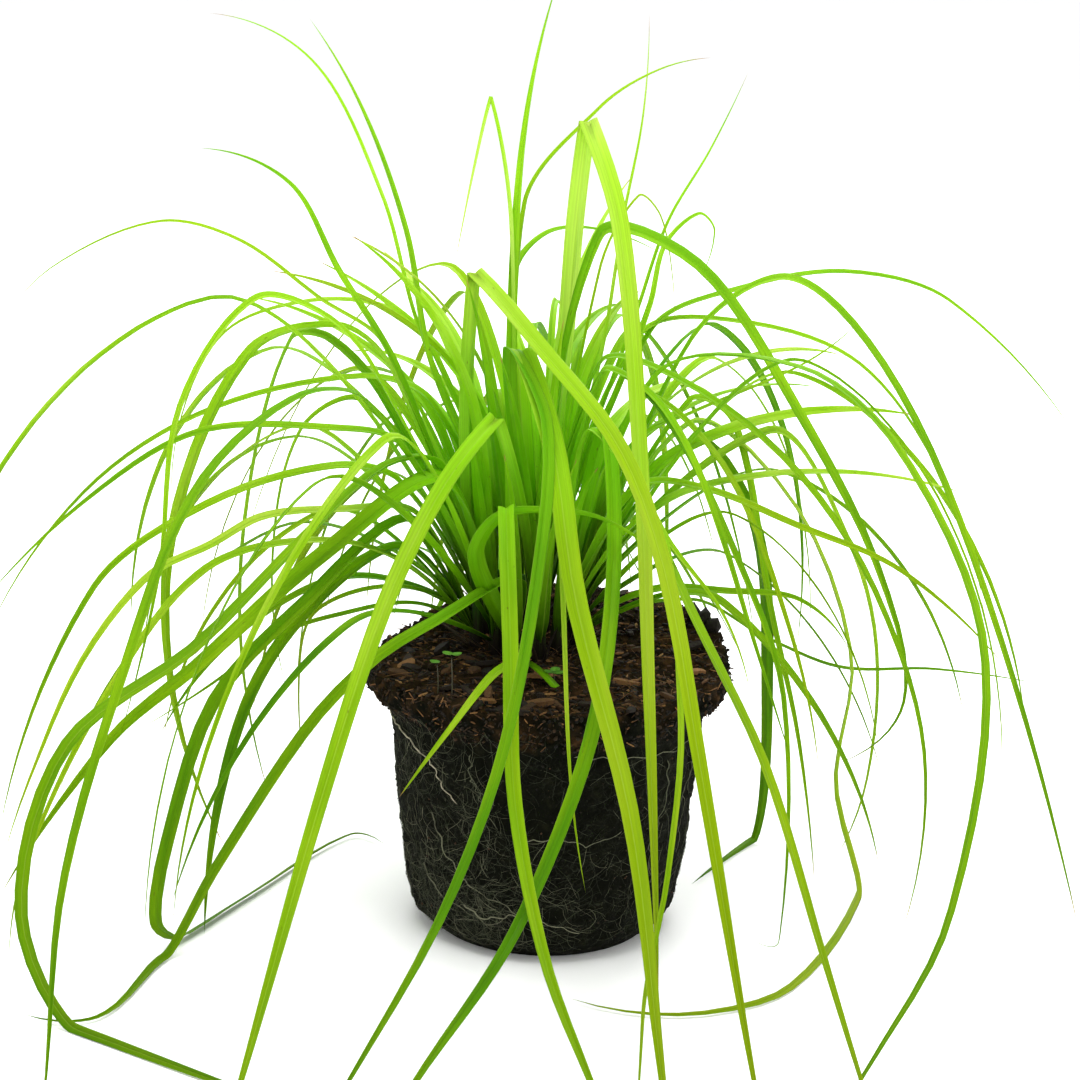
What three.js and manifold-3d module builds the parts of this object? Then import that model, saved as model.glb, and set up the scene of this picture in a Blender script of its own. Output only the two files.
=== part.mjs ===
// Young lime-green carex sedge standing on its bare, pot-moulded root ball.
// Millimetres, +Z up. The origin is the centre of the root ball's flat underside.

import * as THREE from 'three';
import { mergeVertices } from 'three/addons/utils/BufferGeometryUtils.js';
import Module from 'manifold-3d';

const wasm = await Module();
wasm.setup();

// ---- Driving dimensions --------------------------------------------------------------------

const BALL_HEIGHT = 96; // underside to the soil surface at the front
const BASE_RADIUS = 39; // flat underside
const LIP_RADIUS = 64; // crumbly collar moulded by the pot's rim
const LIP_START = 84; // height where the collar steps out
const LIP_FRONT_SHARE = 0.2; // how far it steps out at the front and back, of that at the sides
const CROWN_MOUND = 4; // soil drawn up round the stem bases
const MOUND_SPREAD = 30; // how far out the mound fades
const BACK_RISE = 12; // soil piled up towards the back right
const BACK_LEAN = 0.35; // how much of that slope faces right
const BACK_START = -10; // where it starts to rise
const BACK_RUN = 75; // and over what distance

const CROWN = { x: -8, y: 14 }; // centre of the tuft on the soil
const OUTER_SHOOTS = 12;
const OUTER_RADIUS = 17;
const INNER_SHOOTS = 4;
const INNER_RADIUS = 6;
const FOOT_SCATTER = 1.6; // how far the outer shoots stand off their ring
const SHOOTS = OUTER_SHOOTS + INNER_SHOOTS;

const SHEATH_RADIUS = 3; // stem base wrapped in its sheaths
const SHEATH_TOP_RADIUS = 1.2;
const SHEATH_RISE = 19; // above the soil
const SHEATH_SIDES = 6;
const SHEATH_END_GAP = 0.5; // between the stem's cut end and the bottom of its hole
const HOLE_DEPTH = 8; // how deep a shoot stands in the soil
const HOLE_GAP = 0.35; // between a stem and the soil round it

const ROOT_SETOFF = 1.2; // a blade leaves its sheath this far off the shoot's middle
const FIRST_RISE = 3; // height in the sheath where the outermost blade begins
const RISE_SPAN = 14; // how much higher the innermost one begins
const LOW_START = 120; // a leading blade whose first point is this low is an outermost one
const START_RANGE = 150; // and one whose first point is this much higher an innermost one
const KEEL_DEPTH = 1.1; // thickness of a blade at its keel, near the base
const KEEL_TAPER = 0.35; // how much thinner it is at the tip
const BASE_WIDTH = 0.5; // share of its full width that a blade has in the sheath
const FULL_FROM = 0.12; // share of its length at which it reaches its full width
const SLENDER = 1.3; // power of the taper to the tip
const BROAD = 2.6; // the same for the blades that hang down in front or trail, full for longer
const FRONT_TIP = -85; // a leading blade whose tip lies before this hangs down in front
const BLADE_STEPS = 7;
const CREASED_STEPS = [4, 6]; // up to the crease, and beyond it
const CREASE_OVERLAP = 0.8; // how far the part beyond a crease starts inside the part below
const CREASE_SINK = 0.3; // share of the keel's depth by which it lies lower there
const CREASE_THROW = 1.3; // how far out a creased blade swings before it falls
const FILLERS_PER_SHOOT = 38;

const CHIPS = 16; // larger pieces of bark on the soil
const CHIP_RING = [28, 55]; // nearest and farthest from the middle of the ball
const CHIP_CROWN_GAP = 27; // kept clear round the middle of the tuft
const CHIP_RISE = 2.5; // no chip stands higher than this off the soil

const LYING_HEIGHT = 1.4; // middle of a blade that trails on the surface
const LYING_CLEAR = 0.25; // its lowest edge
const LYING_BELOW = 8; // points lower than this stay at their height when a blade is raised

// ---- Soil surface --------------------------------------------------------------------------

function smooth(t) {
  const u = Math.min(1, Math.max(0, t));
  return u * u * (3 - 2 * u);
}

function soilHeight(x, y) {
  const fromCrown = (x - CROWN.x) ** 2 + (y - CROWN.y) ** 2;
  const mound = CROWN_MOUND * Math.exp(-fromCrown / MOUND_SPREAD ** 2);
  return BALL_HEIGHT + mound + BACK_RISE * smooth((BACK_LEAN * x + y - BACK_START) / BACK_RUN);
}

// ---- Where the shoots stand ----------------------------------------------------------------

function shootAngle(shoot) {
  if (shoot < OUTER_SHOOTS) return (2 * Math.PI * (shoot + 0.5)) / OUTER_SHOOTS;
  return (2 * Math.PI * (shoot - OUTER_SHOOTS + 0.25)) / INNER_SHOOTS;
}

function shootFoot(shoot) {
  const outer = shoot < OUTER_SHOOTS;
  const radius = outer ? OUTER_RADIUS + FOOT_SCATTER * Math.sin(2.4 * shoot) : INNER_RADIUS;
  const angle = shootAngle(shoot);
  const x = CROWN.x + radius * Math.cos(angle);
  const y = CROWN.y + radius * Math.sin(angle);
  return new THREE.Vector3(x, y, soilHeight(x, y));
}

// A small seeded generator, so that every build draws the same plant.
class Draw {
  constructor(seed) {
    this.state = ((seed * 7919) % 2147483647) + 1;
    for (let i = 0; i < 4; i++) this.next();
  }

  next() {
    this.state = (this.state * 48271) % 2147483647;
    return this.state / 2147483647;
  }

  span(low, high) {
    return low + (high - low) * this.next();
  }
}

// ---- The leading blades --------------------------------------------------------------------
// One row each: shoot, width, twist at the tip in degrees, number of the point where the blade
// is creased over (0 for none), then the points that it passes after leaving its sheath.

const LEADING_BLADES = [
  [14, 6, 10, 0, [-16, 8, 228], [-13, 6, 287], [-3, 5, 335]],
  [6, 7.2, 35, 1, [-29, -5, 236], [-6, -26, 215], [21, -56, 188], [36, -85, 155], [47, -126, 106],
    [64, -181, 25], [71, -201, 0]],
  [15, 9, 10, 0, [-13, -15, 211], [-1, -36, 185], [8, -69, 140], [27, -117, 82], [37, -179, 22],
    [42, -206, 0]],
  [8, 6, 10, 0, [-16, -32, 161], [-13, -69, 125], [-10, -99, 81], [1, -138, 43], [16, -174, 19],
    [30, -208, 0]],
  [15, 7, -45, 1, [-20, -25, 190], [-38, -42, 168], [-55, -68, 134], [-71, -113, 85],
    [-89, -184, 20], [-95, -210, 0]],
  [0, 5, 55, 0, [35, -4, 203], [82, -24, 210], [114, -46, 187], [140, -82, 131], [127, -131, 59],
    [97, -170, 21], [77, -195, 0]],
  [15, 8, 10, 3, [3, 6, 215], [5, 2, 254], [8, -4, 288], [20, -12, 253], [29, -34, 175],
    [33, -74, 108], [37, -92, 43], [39, -101, 3]],
  [10, 6.4, 10, 0, [18, -6, 182], [25, -36, 144], [23, -84, 97], [5, -124, 47], [-16, -186, 25],
    [-32, -224, 6]],
  [10, 6, 10, 0, [28, -10, 162], [39, -23, 146], [50, -49, 131], [75, -95, 95], [93, -142, 54],
    [106, -172, 23], [117, -197, 0]],
  [0, 5, 75, 0, [29, 10, 190], [58, 0, 168], [80, -25, 114], [86, -55, 74]],
  [6, 6.2, -80, 0, [-50, 0, 147], [-87, -13, 118], [-116, -25, 86], [-131, -38, 38],
    [-134, -46, 12], [-127, -36, 2], [-107, 5, 1], [-75, 67, 1], [-61, 58, 1]],
  [6, 6.2, -90, 0, [-53, 0, 137], [-91, -9, 108], [-111, -17, 66], [-119, -32, 1]],
  [8, 5.5, -40, 0, [-11, -6, 128], [-41, -30, 118], [-60, -38, 107], [-81, -44, 85],
    [-113, -48, 33], [-130, -51, 1], [-145, -100, 1], [-170, -100, 1]],
  [5, 5.6, 90, 0, [-58, 8, 200], [-76, 12, 213], [-108, 18, 202], [-137, 29, 136], [-140, 40, 68],
    [-121, 50, 0]],
  [5, 4.2, -75, 0, [-61, 30, 183], [-82, 40, 203], [-96, 44, 202], [-113, 62, 144],
    [-119, 81, 75], [-110, 100, 4]],
  [5, 5, -75, 0, [-54, -4, 175], [-78, -8, 181], [-122, -15, 180], [-158, -22, 158],
    [-194, -30, 122]],
  [13, 4.6, -75, 0, [-44, 16, 186], [-70, 22, 193], [-128, 35, 175], [-174, 47, 140],
    [-212, 60, 83]],
  [6, 5, -75, 0, [-53, 0, 132], [-84, -10, 142], [-121, -22, 134], [-153, -40, 94],
    [-178, -59, 42], [-183, -70, 10]],
  [15, 7.4, 105, 0, [13, 0, 249], [48, 1, 239], [85, 2, 188], [116, 4, 132], [128, 5, 83],
    [105, 6, 58]],
  [12, 5, 75, 0, [15, 14, 202], [47, 8, 196], [86, -1, 167], [115, -10, 125], [133, -21, 70],
    [127, -32, 8]],
  [11, 4, 70, 0, [47, 20, 210], [80, 14, 234], [116, 7, 202], [153, -2, 127], [194, -14, 3]],
  [12, 3.8, 60, 0, [33, 30, 211], [66, 33, 227], [103, 36, 233], [140, 39, 223], [191, 45, 172]],
  [8, 5, 10, 0, [-8, -24, 106], [-19, -48, 106], [-32, -68, 94], [-49, -66, 68]],
  [8, 8, 10, 0, [-26, -20, 138], [-18, -25, 153], [2, -31, 157], [19, -36, 155], [43, -45, 142]],
  [15, 5, 75, 0, [15, -6, 203], [36, -11, 191], [64, -24, 142], [81, -36, 96], [82, -54, 15],
    [72, -56, 16]],
  [0, 5, 60, 0, [76, 20, 178], [108, 32, 135], [122, 42, 90], [123, 54, 35], [114, 61, 0]],
  [14, 4.5, 60, 2, [-17, 6, 249], [-25, 6, 294], [-30, 6, 271], [-36, 6, 237]],
  [12, 2.6, 40, 0, [17, 20, 212], [24, 28, 257], [31, 34, 295], [33, 40, 331]],
  [12, 3, 40, 0, [29, 25, 223], [38, 33, 250], [52, 41, 274], [65, 50, 301]],
  [13, 5, 20, 0, [-16, 25, 230], [-5, 35, 244], [14, 46, 244], [38, 60, 233]],
  [4, 2.8, -60, 0, [-62, 40, 201], [-86, 47, 216], [-116, 56, 235], [-146, 63, 240],
    [-185, 73, 222], [-206, 80, 200]],
  [13, 3.6, -60, 0, [-46, 35, 202], [-64, 43, 214], [-94, 53, 213], [-126, 65, 198],
    [-145, 77, 162], [-151, 90, 120]],
  [13, 3.5, -60, 0, [-50, 15, 211], [-62, 28, 251], [-86, 43, 293], [-122, 55, 307]],
  [4, 4, -75, 0, [-69, 40, 180], [-93, 48, 167], [-105, 64, 112], [-101, 80, 55]],
  [10, 5, 70, 0, [30, -8, 163], [51, -10, 164], [85, -13, 152], [121, -17, 138], [159, -21, 105]],
  [0, 5, 70, 0, [48, 34, 185], [64, 29, 179], [79, 9, 115], [90, -5, 71], [97, -21, 21]],
  [0, 5.5, 75, 0, [48, 28, 179], [86, 28, 151], [110, 28, 94], [107, 28, 44], [118, 26, 1],
    [89, -60, 1], [54, -84, 1], [15, -76, 1]],
  [11, 5, 60, 0, [35, -5, 125], [63, 0, 124], [89, 5, 120], [108, 10, 100]],
  [1, 6.5, -75, 0, [50, 45, 168], [75, 53, 136], [84, 65, 70], [83, 74, 1], [56, 26, 1]],
  [12, 5, 60, 0, [32, 15, 217], [37, 18, 237], [49, 21, 247], [55, 22, 241], [50, 25, 223]],
  [10, 5.5, 20, 0, [10, -8, 186], [25, -20, 172], [36, -32, 152], [54, -46, 128], [62, -58, 103]],
  [11, 3.4, 40, 0, [30, 12, 175], [48, 18, 184], [89, 30, 201], [109, 38, 216]],
  [5, 3.4, -60, 0, [-48, 12, 118], [-68, 12, 117], [-85, 14, 107], [-90, 16, 89], [-89, 18, 50]],
  [6, 3, -75, 0, [-47, 4, 115], [-76, 0, 111], [-99, -4, 103], [-116, -8, 89], [-144, -14, 71]],
  [12, 2.4, 40, 0, [14, 24, 233], [27, 28, 259], [35, 28, 252], [40, 26, 230], [41, 24, 211]],
  [7, 9.5, -90, 0, [-38, -11, 165], [-77, -22, 141], [-120, -36, 103], [-149, -44, 78],
    [-185, -60, 26]],
  [7, 7, -90, 0, [-40, -6, 169], [-59, -13, 170], [-86, -28, 148], [-121, -48, 115],
    [-162, -69, 87], [-175, -91, 38], [-157, -103, 1], [-106, -141, 1], [-72, -166, 1]],
  [7, 4.6, -90, 0, [-61, -12, 199], [-79, -16, 222], [-104, -19, 229], [-129, -24, 193],
    [-136, -32, 138], [-150, -40, 80]],
  [5, 5, -90, 0, [-54, 6, 159], [-78, 2, 165], [-123, -2, 150], [-161, -8, 120], [-194, -15, 32]],
  [7, 5.5, -60, 0, [-64, -18, 193], [-87, -28, 196], [-118, -51, 169], [-139, -89, 111],
    [-151, -127, 58], [-150, -166, 11], [-150, -180, 0]],
  [15, 6, 10, 0, [-16, -16, 211], [-3, -35, 191], [-5, -68, 146], [-15, -102, 95],
    [-32, -139, 56], [-58, -178, 18], [-72, -200, 0]],
  [12, 3.8, 60, 0, [29, 30, 209], [65, 36, 214], [110, 44, 198], [145, 53, 152], [164, 61, 101]],
  [13, 4.5, -60, 0, [-13, 16, 256], [12, 19, 290], [31, 20, 303], [50, 20, 308]],
  [9, 2.4, 10, 0, [0, -18, 182], [4, -57, 136], [8, -83, 82], [14, -94, 47]],
  [10, 3, 10, 0, [30, -26, 156], [32, -76, 101], [24, -103, 56], [15, -119, 24], [9, -144, 14],
    [1, -181, 0]],
  [13, 5, 60, 0, [-44, 8, 202], [-53, 5, 248], [-68, 2, 289], [-86, 0, 319]],
  [5, 5.5, -75, 0, [-55, 8, 198], [-77, 16, 232], [-95, 23, 261], [-127, 30, 271]],
  [6, 5.5, -70, 0, [-48, 2, 149], [-76, -3, 152], [-102, -9, 151], [-120, -13, 142],
    [-141, -21, 133], [-163, -30, 106], [-180, -41, 69], [-189, -48, 43]],
  [15, 6, 60, 0, [15, -8, 203], [32, -11, 197], [47, -21, 177], [59, -31, 148], [68, -39, 122],
    [83, -52, 80]],
  [11, 3, 60, 0, [51, 22, 114], [79, 27, 99], [108, 31, 87], [143, 35, 86], [185, 38, 80]],
];

function leadingBlades() {
  return LEADING_BLADES.map(([shoot, width, twist, crease, ...points]) => {
    const [, tipFront, tipHeight] = points[points.length - 1];
    return {
      shoot,
      width,
      taper: tipFront < FRONT_TIP || tipHeight < LYING_BELOW ? BROAD : SLENDER,
      twist,
      crease,
      points: points.map((p) => new THREE.Vector3(...p)),
      rise: FIRST_RISE + RISE_SPAN * smooth((points[0][2] - LOW_START) / START_RANGE),
      steps: BLADE_STEPS + Math.max(0, 2 * (points.length - 4)),
    };
  });
}

// ---- The other blades: old ones low and arching, young ones upright --------------------------

const FRONT_WINDOW = 0.75; // cosine of the heading, off the front, that is kept open
const RIGHT_SIDE = 0.35; // cosine of the heading, off the right, beyond which few have grown
const RIGHT_EVERY = 10; // there only every tenth arching blade is kept
const LEFT_EVERY = 6; // and every sixth one on the left
const OLD_SHARE = 0.66; // the share of a shoot's blades that are old enough to arch
const WIDTHS = [6.5, 9.5]; // narrowest and widest
const ARCHING_WIDTH = 0.6; // width of an arching blade, by that of the others
const REACHES = [0.75, 1.2]; // shortest and longest, by the usual reach for its age
const HEIGHTS = [0.85, 1.15]; // the same for its height
const FALLS = [0.7, 1.3]; // and for how far it falls
const MOST_TWIST = 75; // degrees, either way
const TIP_TURN = 0.25; // radians, either way, that a tip heads off its blade's own heading
const FANS = [0.42, 1.5]; // half angle over which an outer and an inner shoot fans its blades
const DEEPEST_TIP = -8;

// Each pair is for the oldest blade of its kind, then for the youngest.
const ARCH = { reach: [60, 82], rise: [18, 116], beyond: [64, 88], fall: [75, 140] };
const UPRIGHT = { reach: [66, 26], rise: [92, 147], beyond: [66, 41], tip: [-30, 30] };
const UPRIGHT_MIDDLE = [0.55, 0.72]; // shares of its reach and rise at its middle point
const SHORT = { reach: [8, 24], rise: [50, 110], tip: [30, 56] };
const SHORT_BEYOND = 2.2; // how far out its tip is, by the reach of its middle

function between([oldest, youngest], u) {
  return oldest + (youngest - oldest) * u;
}

function archingPoints(foot, youth, heading, draws) {
  const u = youth / OLD_SHARE;
  const reach = between(ARCH.reach, u) * draws.reach;
  const top = foot.z + between(ARCH.rise, u) * draws.height;
  const tipReach = (between(ARCH.reach, u) + between(ARCH.beyond, u)) * draws.reach;
  const tip = Math.max(DEEPEST_TIP, top - between(ARCH.fall, u) * draws.fall);
  return [
    aside(foot, heading, reach, top),
    aside(foot, heading + draws.bend, tipReach, tip),
  ];
}

function uprightPoints(foot, youth, heading, draws) {
  const u = (youth - OLD_SHARE) / (1 - OLD_SHARE);
  const reach = between(UPRIGHT.reach, u) * draws.reach;
  const top = between(UPRIGHT.rise, u) * draws.height;
  const tipReach = reach + between(UPRIGHT.beyond, u) * draws.reach;
  const tip = foot.z + top + between(UPRIGHT.tip, u) * draws.fall;
  return [
    aside(foot, heading, reach * UPRIGHT_MIDDLE[0], foot.z + top * UPRIGHT_MIDDLE[1]),
    aside(foot, heading + draws.bend, tipReach, tip),
  ];
}

// The short blades of the front, which leave the sight of the crown open.
function frontPoints(foot, youth, heading, draws) {
  const reach = between(SHORT.reach, youth) * draws.reach;
  const top = between(SHORT.rise, youth) * draws.height;
  const tip = foot.z + top + between(SHORT.tip, youth) * draws.fall;
  return [
    aside(foot, heading, reach, foot.z + top),
    aside(foot, heading + draws.bend, reach * SHORT_BEYOND, tip),
  ];
}

function aside(foot, heading, reach, height) {
  return new THREE.Vector3(
    foot.x + reach * Math.cos(heading),
    foot.y + reach * Math.sin(heading),
    height,
  );
}

function fillerBlades() {
  const blades = [];
  for (let shoot = 0; shoot < SHOOTS; shoot++) {
    const draw = new Draw(shoot + 3);
    const foot = shootFoot(shoot);
    const outer = shoot < OUTER_SHOOTS;
    for (let rank = 0; rank < FILLERS_PER_SHOOT; rank++) {
      const share = (rank + 0.5) / FILLERS_PER_SHOOT;
      const youth = outer ? share : 0.5 + 0.5 * share;
      const heading = shootAngle(shoot) + draw.span(-1, 1) * FANS[outer ? 0 : 1];
      const draws = {
        reach: draw.span(...REACHES),
        height: draw.span(...HEIGHTS),
        fall: draw.span(...FALLS),
      };
      const fullWidth = draw.span(...WIDTHS);
      draws.bend = draw.span(-TIP_TURN, TIP_TURN);
      const twist = draw.span(-MOST_TWIST, MOST_TWIST);
      const open = Math.cos(heading + draws.bend + Math.PI / 2) > FRONT_WINDOW;
      const arching = !open && youth < OLD_SHARE;
      const right = Math.cos(heading);
      const every = right > RIGHT_SIDE ? RIGHT_EVERY : (right < -RIGHT_SIDE ? LEFT_EVERY : 1);
      if (arching && rank % every !== 0) continue;
      const route = arching ? archingPoints : (open ? frontPoints : uprightPoints);
      blades.push({
        shoot,
        rank,
        width: arching ? ARCHING_WIDTH * fullWidth : fullWidth,
        taper: SLENDER,
        twist,
        crease: 0,
        points: route(foot, youth, heading, draws),
        rise: FIRST_RISE + RISE_SPAN * youth,
        steps: BLADE_STEPS,
      });
    }
  }
  return blades.sort((a, b) => a.rank - b.rank || a.shoot - b.shoot);
}

// ---- A blade's path and the stations along it ----------------------------------------------

const SPAN_STEPS = 14;
const TIP_SHARE = 0.3; // how much of a path's heading is that of its tip
const BEND_WEIGHT = 0.9; // how strongly the stations gather where the path bends
const POINTEDNESS = 0.8; // lower gives a blunter tip
const LEAST_CLIMB = 20; // a first point that is lower counts as this high over the root
const LEAN = 0.45; // how far a blade leaves its sheath towards its first point
const OUTER_LEAN = 0.12; // added in the outer shoots
const MOST_LEAN = 1.6;
const OUTER_PULL = 0.7; // how much an outer shoot's blades leave along the shoot's own angle

// A smooth, dense path through the points, which leaves the first one along start.
function pathThrough(points, start) {
  const gaps = points.slice(1).map((p, i) => p.distanceTo(points[i]));
  const last = points.length - 1;
  const pulls = [start.clone().normalize()];
  for (let i = 1; i < last; i++) {
    const across = points[i + 1].clone().sub(points[i - 1]);
    pulls.push(across.divideScalar(gaps[i - 1] + gaps[i]));
  }
  const end = points[last].clone().sub(points[last - 1]).normalize();
  pulls.push(end.multiplyScalar(2).sub(pulls[last - 1].clone().normalize()));
  const path = [];
  for (let i = 0; i < last; i++) {
    const steps = SPAN_STEPS + (i === last - 1 ? 1 : 0);
    for (let k = 0; k < steps; k++) {
      const u = k / SPAN_STEPS;
      const spot = new THREE.Vector3()
        .addScaledVector(points[i], 2 * u ** 3 - 3 * u * u + 1)
        .addScaledVector(pulls[i], (u ** 3 - 2 * u * u + u) * gaps[i])
        .addScaledVector(points[i + 1], -2 * u ** 3 + 3 * u * u)
        .addScaledVector(pulls[i + 1], (u ** 3 - u * u) * gaps[i]);
      spot.z = Math.max(spot.z, LYING_HEIGHT);
      path.push(spot);
    }
  }
  return path;
}

function mix(a, b, share) {
  return a.clone().multiplyScalar(1 - share).addScaledVector(b, share);
}

// The level way that a path heads, mostly by how it starts.
function headingOf(path) {
  const last = path.length - 1;
  const heading = path[Math.floor((last + 1) / 3)].clone().sub(path[0]);
  return heading.addScaledVector(path[last].clone().sub(path[0]), TIP_SHARE).setZ(0);
}

// The width axis starts square to the heading and is carried along the path without spinning,
// then twisted evenly to the tip.
function stationsAlong(path, heading, count, twist, from, to) {
  const last = path.length - 1;
  const steps = path.slice(1).map((p, i) => p.clone().sub(path[i]));
  const lengths = steps.map((s) => s.length());
  const headings = steps.map((s) => s.clone().normalize());
  const total = lengths.reduce((a, b) => a + b, 0);
  const turns = headings.map((h, i) => (i === 0 ? 0
    : Math.acos(Math.min(1, Math.max(-1, h.dot(headings[i - 1]))))));
  const bend = turns.reduce((a, b) => a + b, 0) || 1;
  const marks = [0];
  const arcs = [0];
  for (let i = 0; i < last; i++) {
    const half = 0.5 * (turns[i] + (i + 1 < last ? turns[i + 1] : 0));
    marks.push(marks[i] + lengths[i] / total + (BEND_WEIGHT * half) / bend);
    arcs.push(arcs[i] + lengths[i] / total);
  }
  let side = heading.clone().cross(new THREE.Vector3(0, 0, 1)).normalize();
  const frames = path.map((_, i) => {
    const before = headings[Math.max(0, i - 1)];
    const after = headings[Math.min(i, last - 1)];
    const along = i === 0 ? after.clone() : before.clone().add(after).normalize();
    side = side.clone().addScaledVector(along, -along.dot(side)).normalize();
    return { along, side };
  });
  const stations = [];
  let j = 0;
  for (let m = 0; m <= count; m++) {
    const want = (marks[last] * m) / count;
    while (j < last - 1 && marks[j + 1] < want) j++;
    const share = Math.min(1, Math.max(0, (want - marks[j]) / (marks[j + 1] - marks[j] || 1)));
    const spot = mix(path[j], path[j + 1], share);
    const along = mix(frames[j].along, frames[j + 1].along, share).normalize();
    const flat = mix(frames[j].side, frames[j + 1].side, share).normalize();
    flat.addScaledVector(along, -along.dot(flat)).normalize();
    const run = from + (to - from) * (arcs[j] * (1 - share) + arcs[j + 1] * share);
    const roll = (twist * run * Math.PI) / 180;
    const up = along.clone().cross(flat);
    const across = flat.clone().multiplyScalar(Math.cos(roll)).addScaledVector(up, Math.sin(roll));
    stations.push({ spot, along, across: across.normalize(), run });
  }
  return stations;
}

function lengthOf(path) {
  return path.slice(1).reduce((sum, p, i) => sum + p.distanceTo(path[i]), 0);
}

// Half the width at a share of the length: narrow in the sheath, full, then tapering to the tip.
function halfWidth(blade, run) {
  const base = BASE_WIDTH + (1 - BASE_WIDTH) * smooth(run / FULL_FROM);
  return 0.5 * blade.width * base * Math.max(0, 1 - run ** blade.taper) ** POINTEDNESS;
}

// The blade's stretches, one on each side of its crease, for a turn and a lift about its foot.
function stretchesOf(blade, turn, lift) {
  const first = blade.points[0];
  const foot = shootFoot(blade.shoot);
  const off = Math.hypot(first.x - foot.x, first.y - foot.y) || 1;
  const root = new THREE.Vector3(
    foot.x + (ROOT_SETOFF * (first.x - foot.x)) / off,
    foot.y + (ROOT_SETOFF * (first.y - foot.y)) / off,
    foot.z + blade.rise,
  );
  const cos = Math.cos((turn * Math.PI) / 180);
  const sin = Math.sin((turn * Math.PI) / 180);
  const points = blade.points.map((p) => new THREE.Vector3(
    root.x + (p.x - root.x) * cos - (p.y - root.y) * sin,
    root.y + (p.x - root.x) * sin + (p.y - root.y) * cos,
    p.z < LYING_BELOW ? p.z : root.z + (p.z - root.z) * lift,
  ));
  const outer = blade.shoot < OUTER_SHOOTS;
  const aim = points[0];
  const out = Math.hypot(aim.x - root.x, aim.y - root.y) || 1;
  const climb = Math.max(aim.z - root.z, LEAST_CLIMB);
  const slope = Math.min(MOST_LEAN, (LEAN * out) / climb + (outer ? OUTER_LEAN : 0));
  const pull = outer ? OUTER_PULL : 0;
  const angle = shootAngle(blade.shoot);
  const start = new THREE.Vector3(
    slope * (pull * Math.cos(angle) + ((1 - pull) * (aim.x - root.x)) / out),
    slope * (pull * Math.sin(angle) + ((1 - pull) * (aim.y - root.y)) / out),
    1,
  );
  if (!blade.crease) {
    const path = pathThrough([root, ...points], start);
    return [stationsAlong(path, headingOf(path), blade.steps, blade.twist, 0, 1)];
  }
  const top = points[blade.crease - 1];
  const next = points[blade.crease];
  const fall = new THREE.Vector3(
    (next.x - top.x) * CREASE_THROW,
    (next.y - top.y) * CREASE_THROW,
    next.z - top.z,
  );
  const rising = pathThrough([root, ...points.slice(0, blade.crease)], start);
  const falling = pathThrough(points.slice(blade.crease - 1), fall);
  const share = lengthOf(rising) / (lengthOf(rising) + lengthOf(falling));
  const heading = headingOf(falling);
  const below = stationsAlong(rising, heading, CREASED_STEPS[0], blade.twist, 0, share);
  const beyond = stationsAlong(falling, heading, CREASED_STEPS[1], blade.twist, share, 1);
  // The second stretch begins inside the end of the first, so that the two grow together.
  const end = below[below.length - 1];
  const down = end.along.clone().cross(end.across);
  beyond[0].spot = end.spot.clone()
    .addScaledVector(down, CREASE_SINK * KEEL_DEPTH)
    .addScaledVector(end.along, -CREASE_OVERLAP);
  return [below, beyond];
}

// ---- Seedlings of a weed in front of the crown ------------------------------------------------

const STALK_RADIUS = 0.5;
const STALK_DEPTH = 4; // in the soil
const SEED_LEAF_THICKNESS = 0.8;
const SEED_LEAF_BREADTH = 0.8; // of its length
const SEED_LEAF_SIDES = 8;
const SEEDLING_ROOM = 5; // kept clear of blades round each stalk

// Foot on the soil, height of the leaves over it, and the leaves: compass angle in degrees,
// distance of the middle from the stalk, radius.
const SEEDLINGS = [
  { at: [-38, -35], height: 10, leaves: [[200, 1, 1.9]] },
  { at: [-33, -40], height: 14.5, leaves: [[170, 1.6, 1.9], [350, 1.6, 1.9]] },
  { at: [2, -26], height: 4, leaves: [[200, 1.9, 2.2], [320, 2.1, 2.5], [80, 1.9, 2.1]] },
];

function seedlingSolid({ at: [x, y], height, leaves }) {
  const ground = soilHeight(x, y);
  const length = height + STALK_DEPTH - HOLE_GAP;
  const stalk = new THREE.CylinderGeometry(STALK_RADIUS, STALK_RADIUS, length, SHEATH_SIDES);
  stalk.rotateX(Math.PI / 2);
  stalk.translate(x, y, ground + height - length / 2);
  let solid = solidFrom(stalk);
  for (const [degrees, reach, radius] of leaves) {
    const leaf = new THREE.CylinderGeometry(radius, radius, SEED_LEAF_THICKNESS, SEED_LEAF_SIDES);
    leaf.rotateX(Math.PI / 2);
    leaf.scale(1, SEED_LEAF_BREADTH, 1);
    leaf.translate(reach, 0, height - 0.1 * radius);
    leaf.rotateZ((degrees * Math.PI) / 180);
    leaf.translate(x, y, ground);
    solid = solid.add(solidFrom(leaf));
  }
  return solid;
}

// ---- Room for each blade: cells of space, each held by one shoot --------------------------------

const CELL = 1.5;
const SPACE_START = { x: -300, y: -300, z: -4 };
const SPACE = { x: 400, y: 413, z: 250 };
const SAMPLE_STEP = 1.2;
const INNER_RUN = 54; // along a blade, where a shoot's own blades may grow together
const OPEN_RUN = 10; // along a blade, where it is still in its sheath
const HELD_FAR = 100;
const HELD_BY_SOIL = -1;
const SOIL_CLEAR = 0.5; // kept over the soil inside the crown
const SEEDLING_CLEAR = 2; // and over a seedling
const HELD_RADIUS = 58; // of the side, below the collar
const cells = new Int16Array(SPACE.x * SPACE.y * SPACE.z);

function cellAt(x, y, z) {
  const clamp = (value, size) => Math.min(size - 2, Math.max(1, value));
  const i = clamp(Math.floor((x - SPACE_START.x) / CELL), SPACE.x);
  const j = clamp(Math.floor((y - SPACE_START.y) / CELL), SPACE.y);
  const k = clamp(Math.floor((z - SPACE_START.z) / CELL), SPACE.z);
  return (i * SPACE.y + j) * SPACE.z + k;
}

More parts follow.
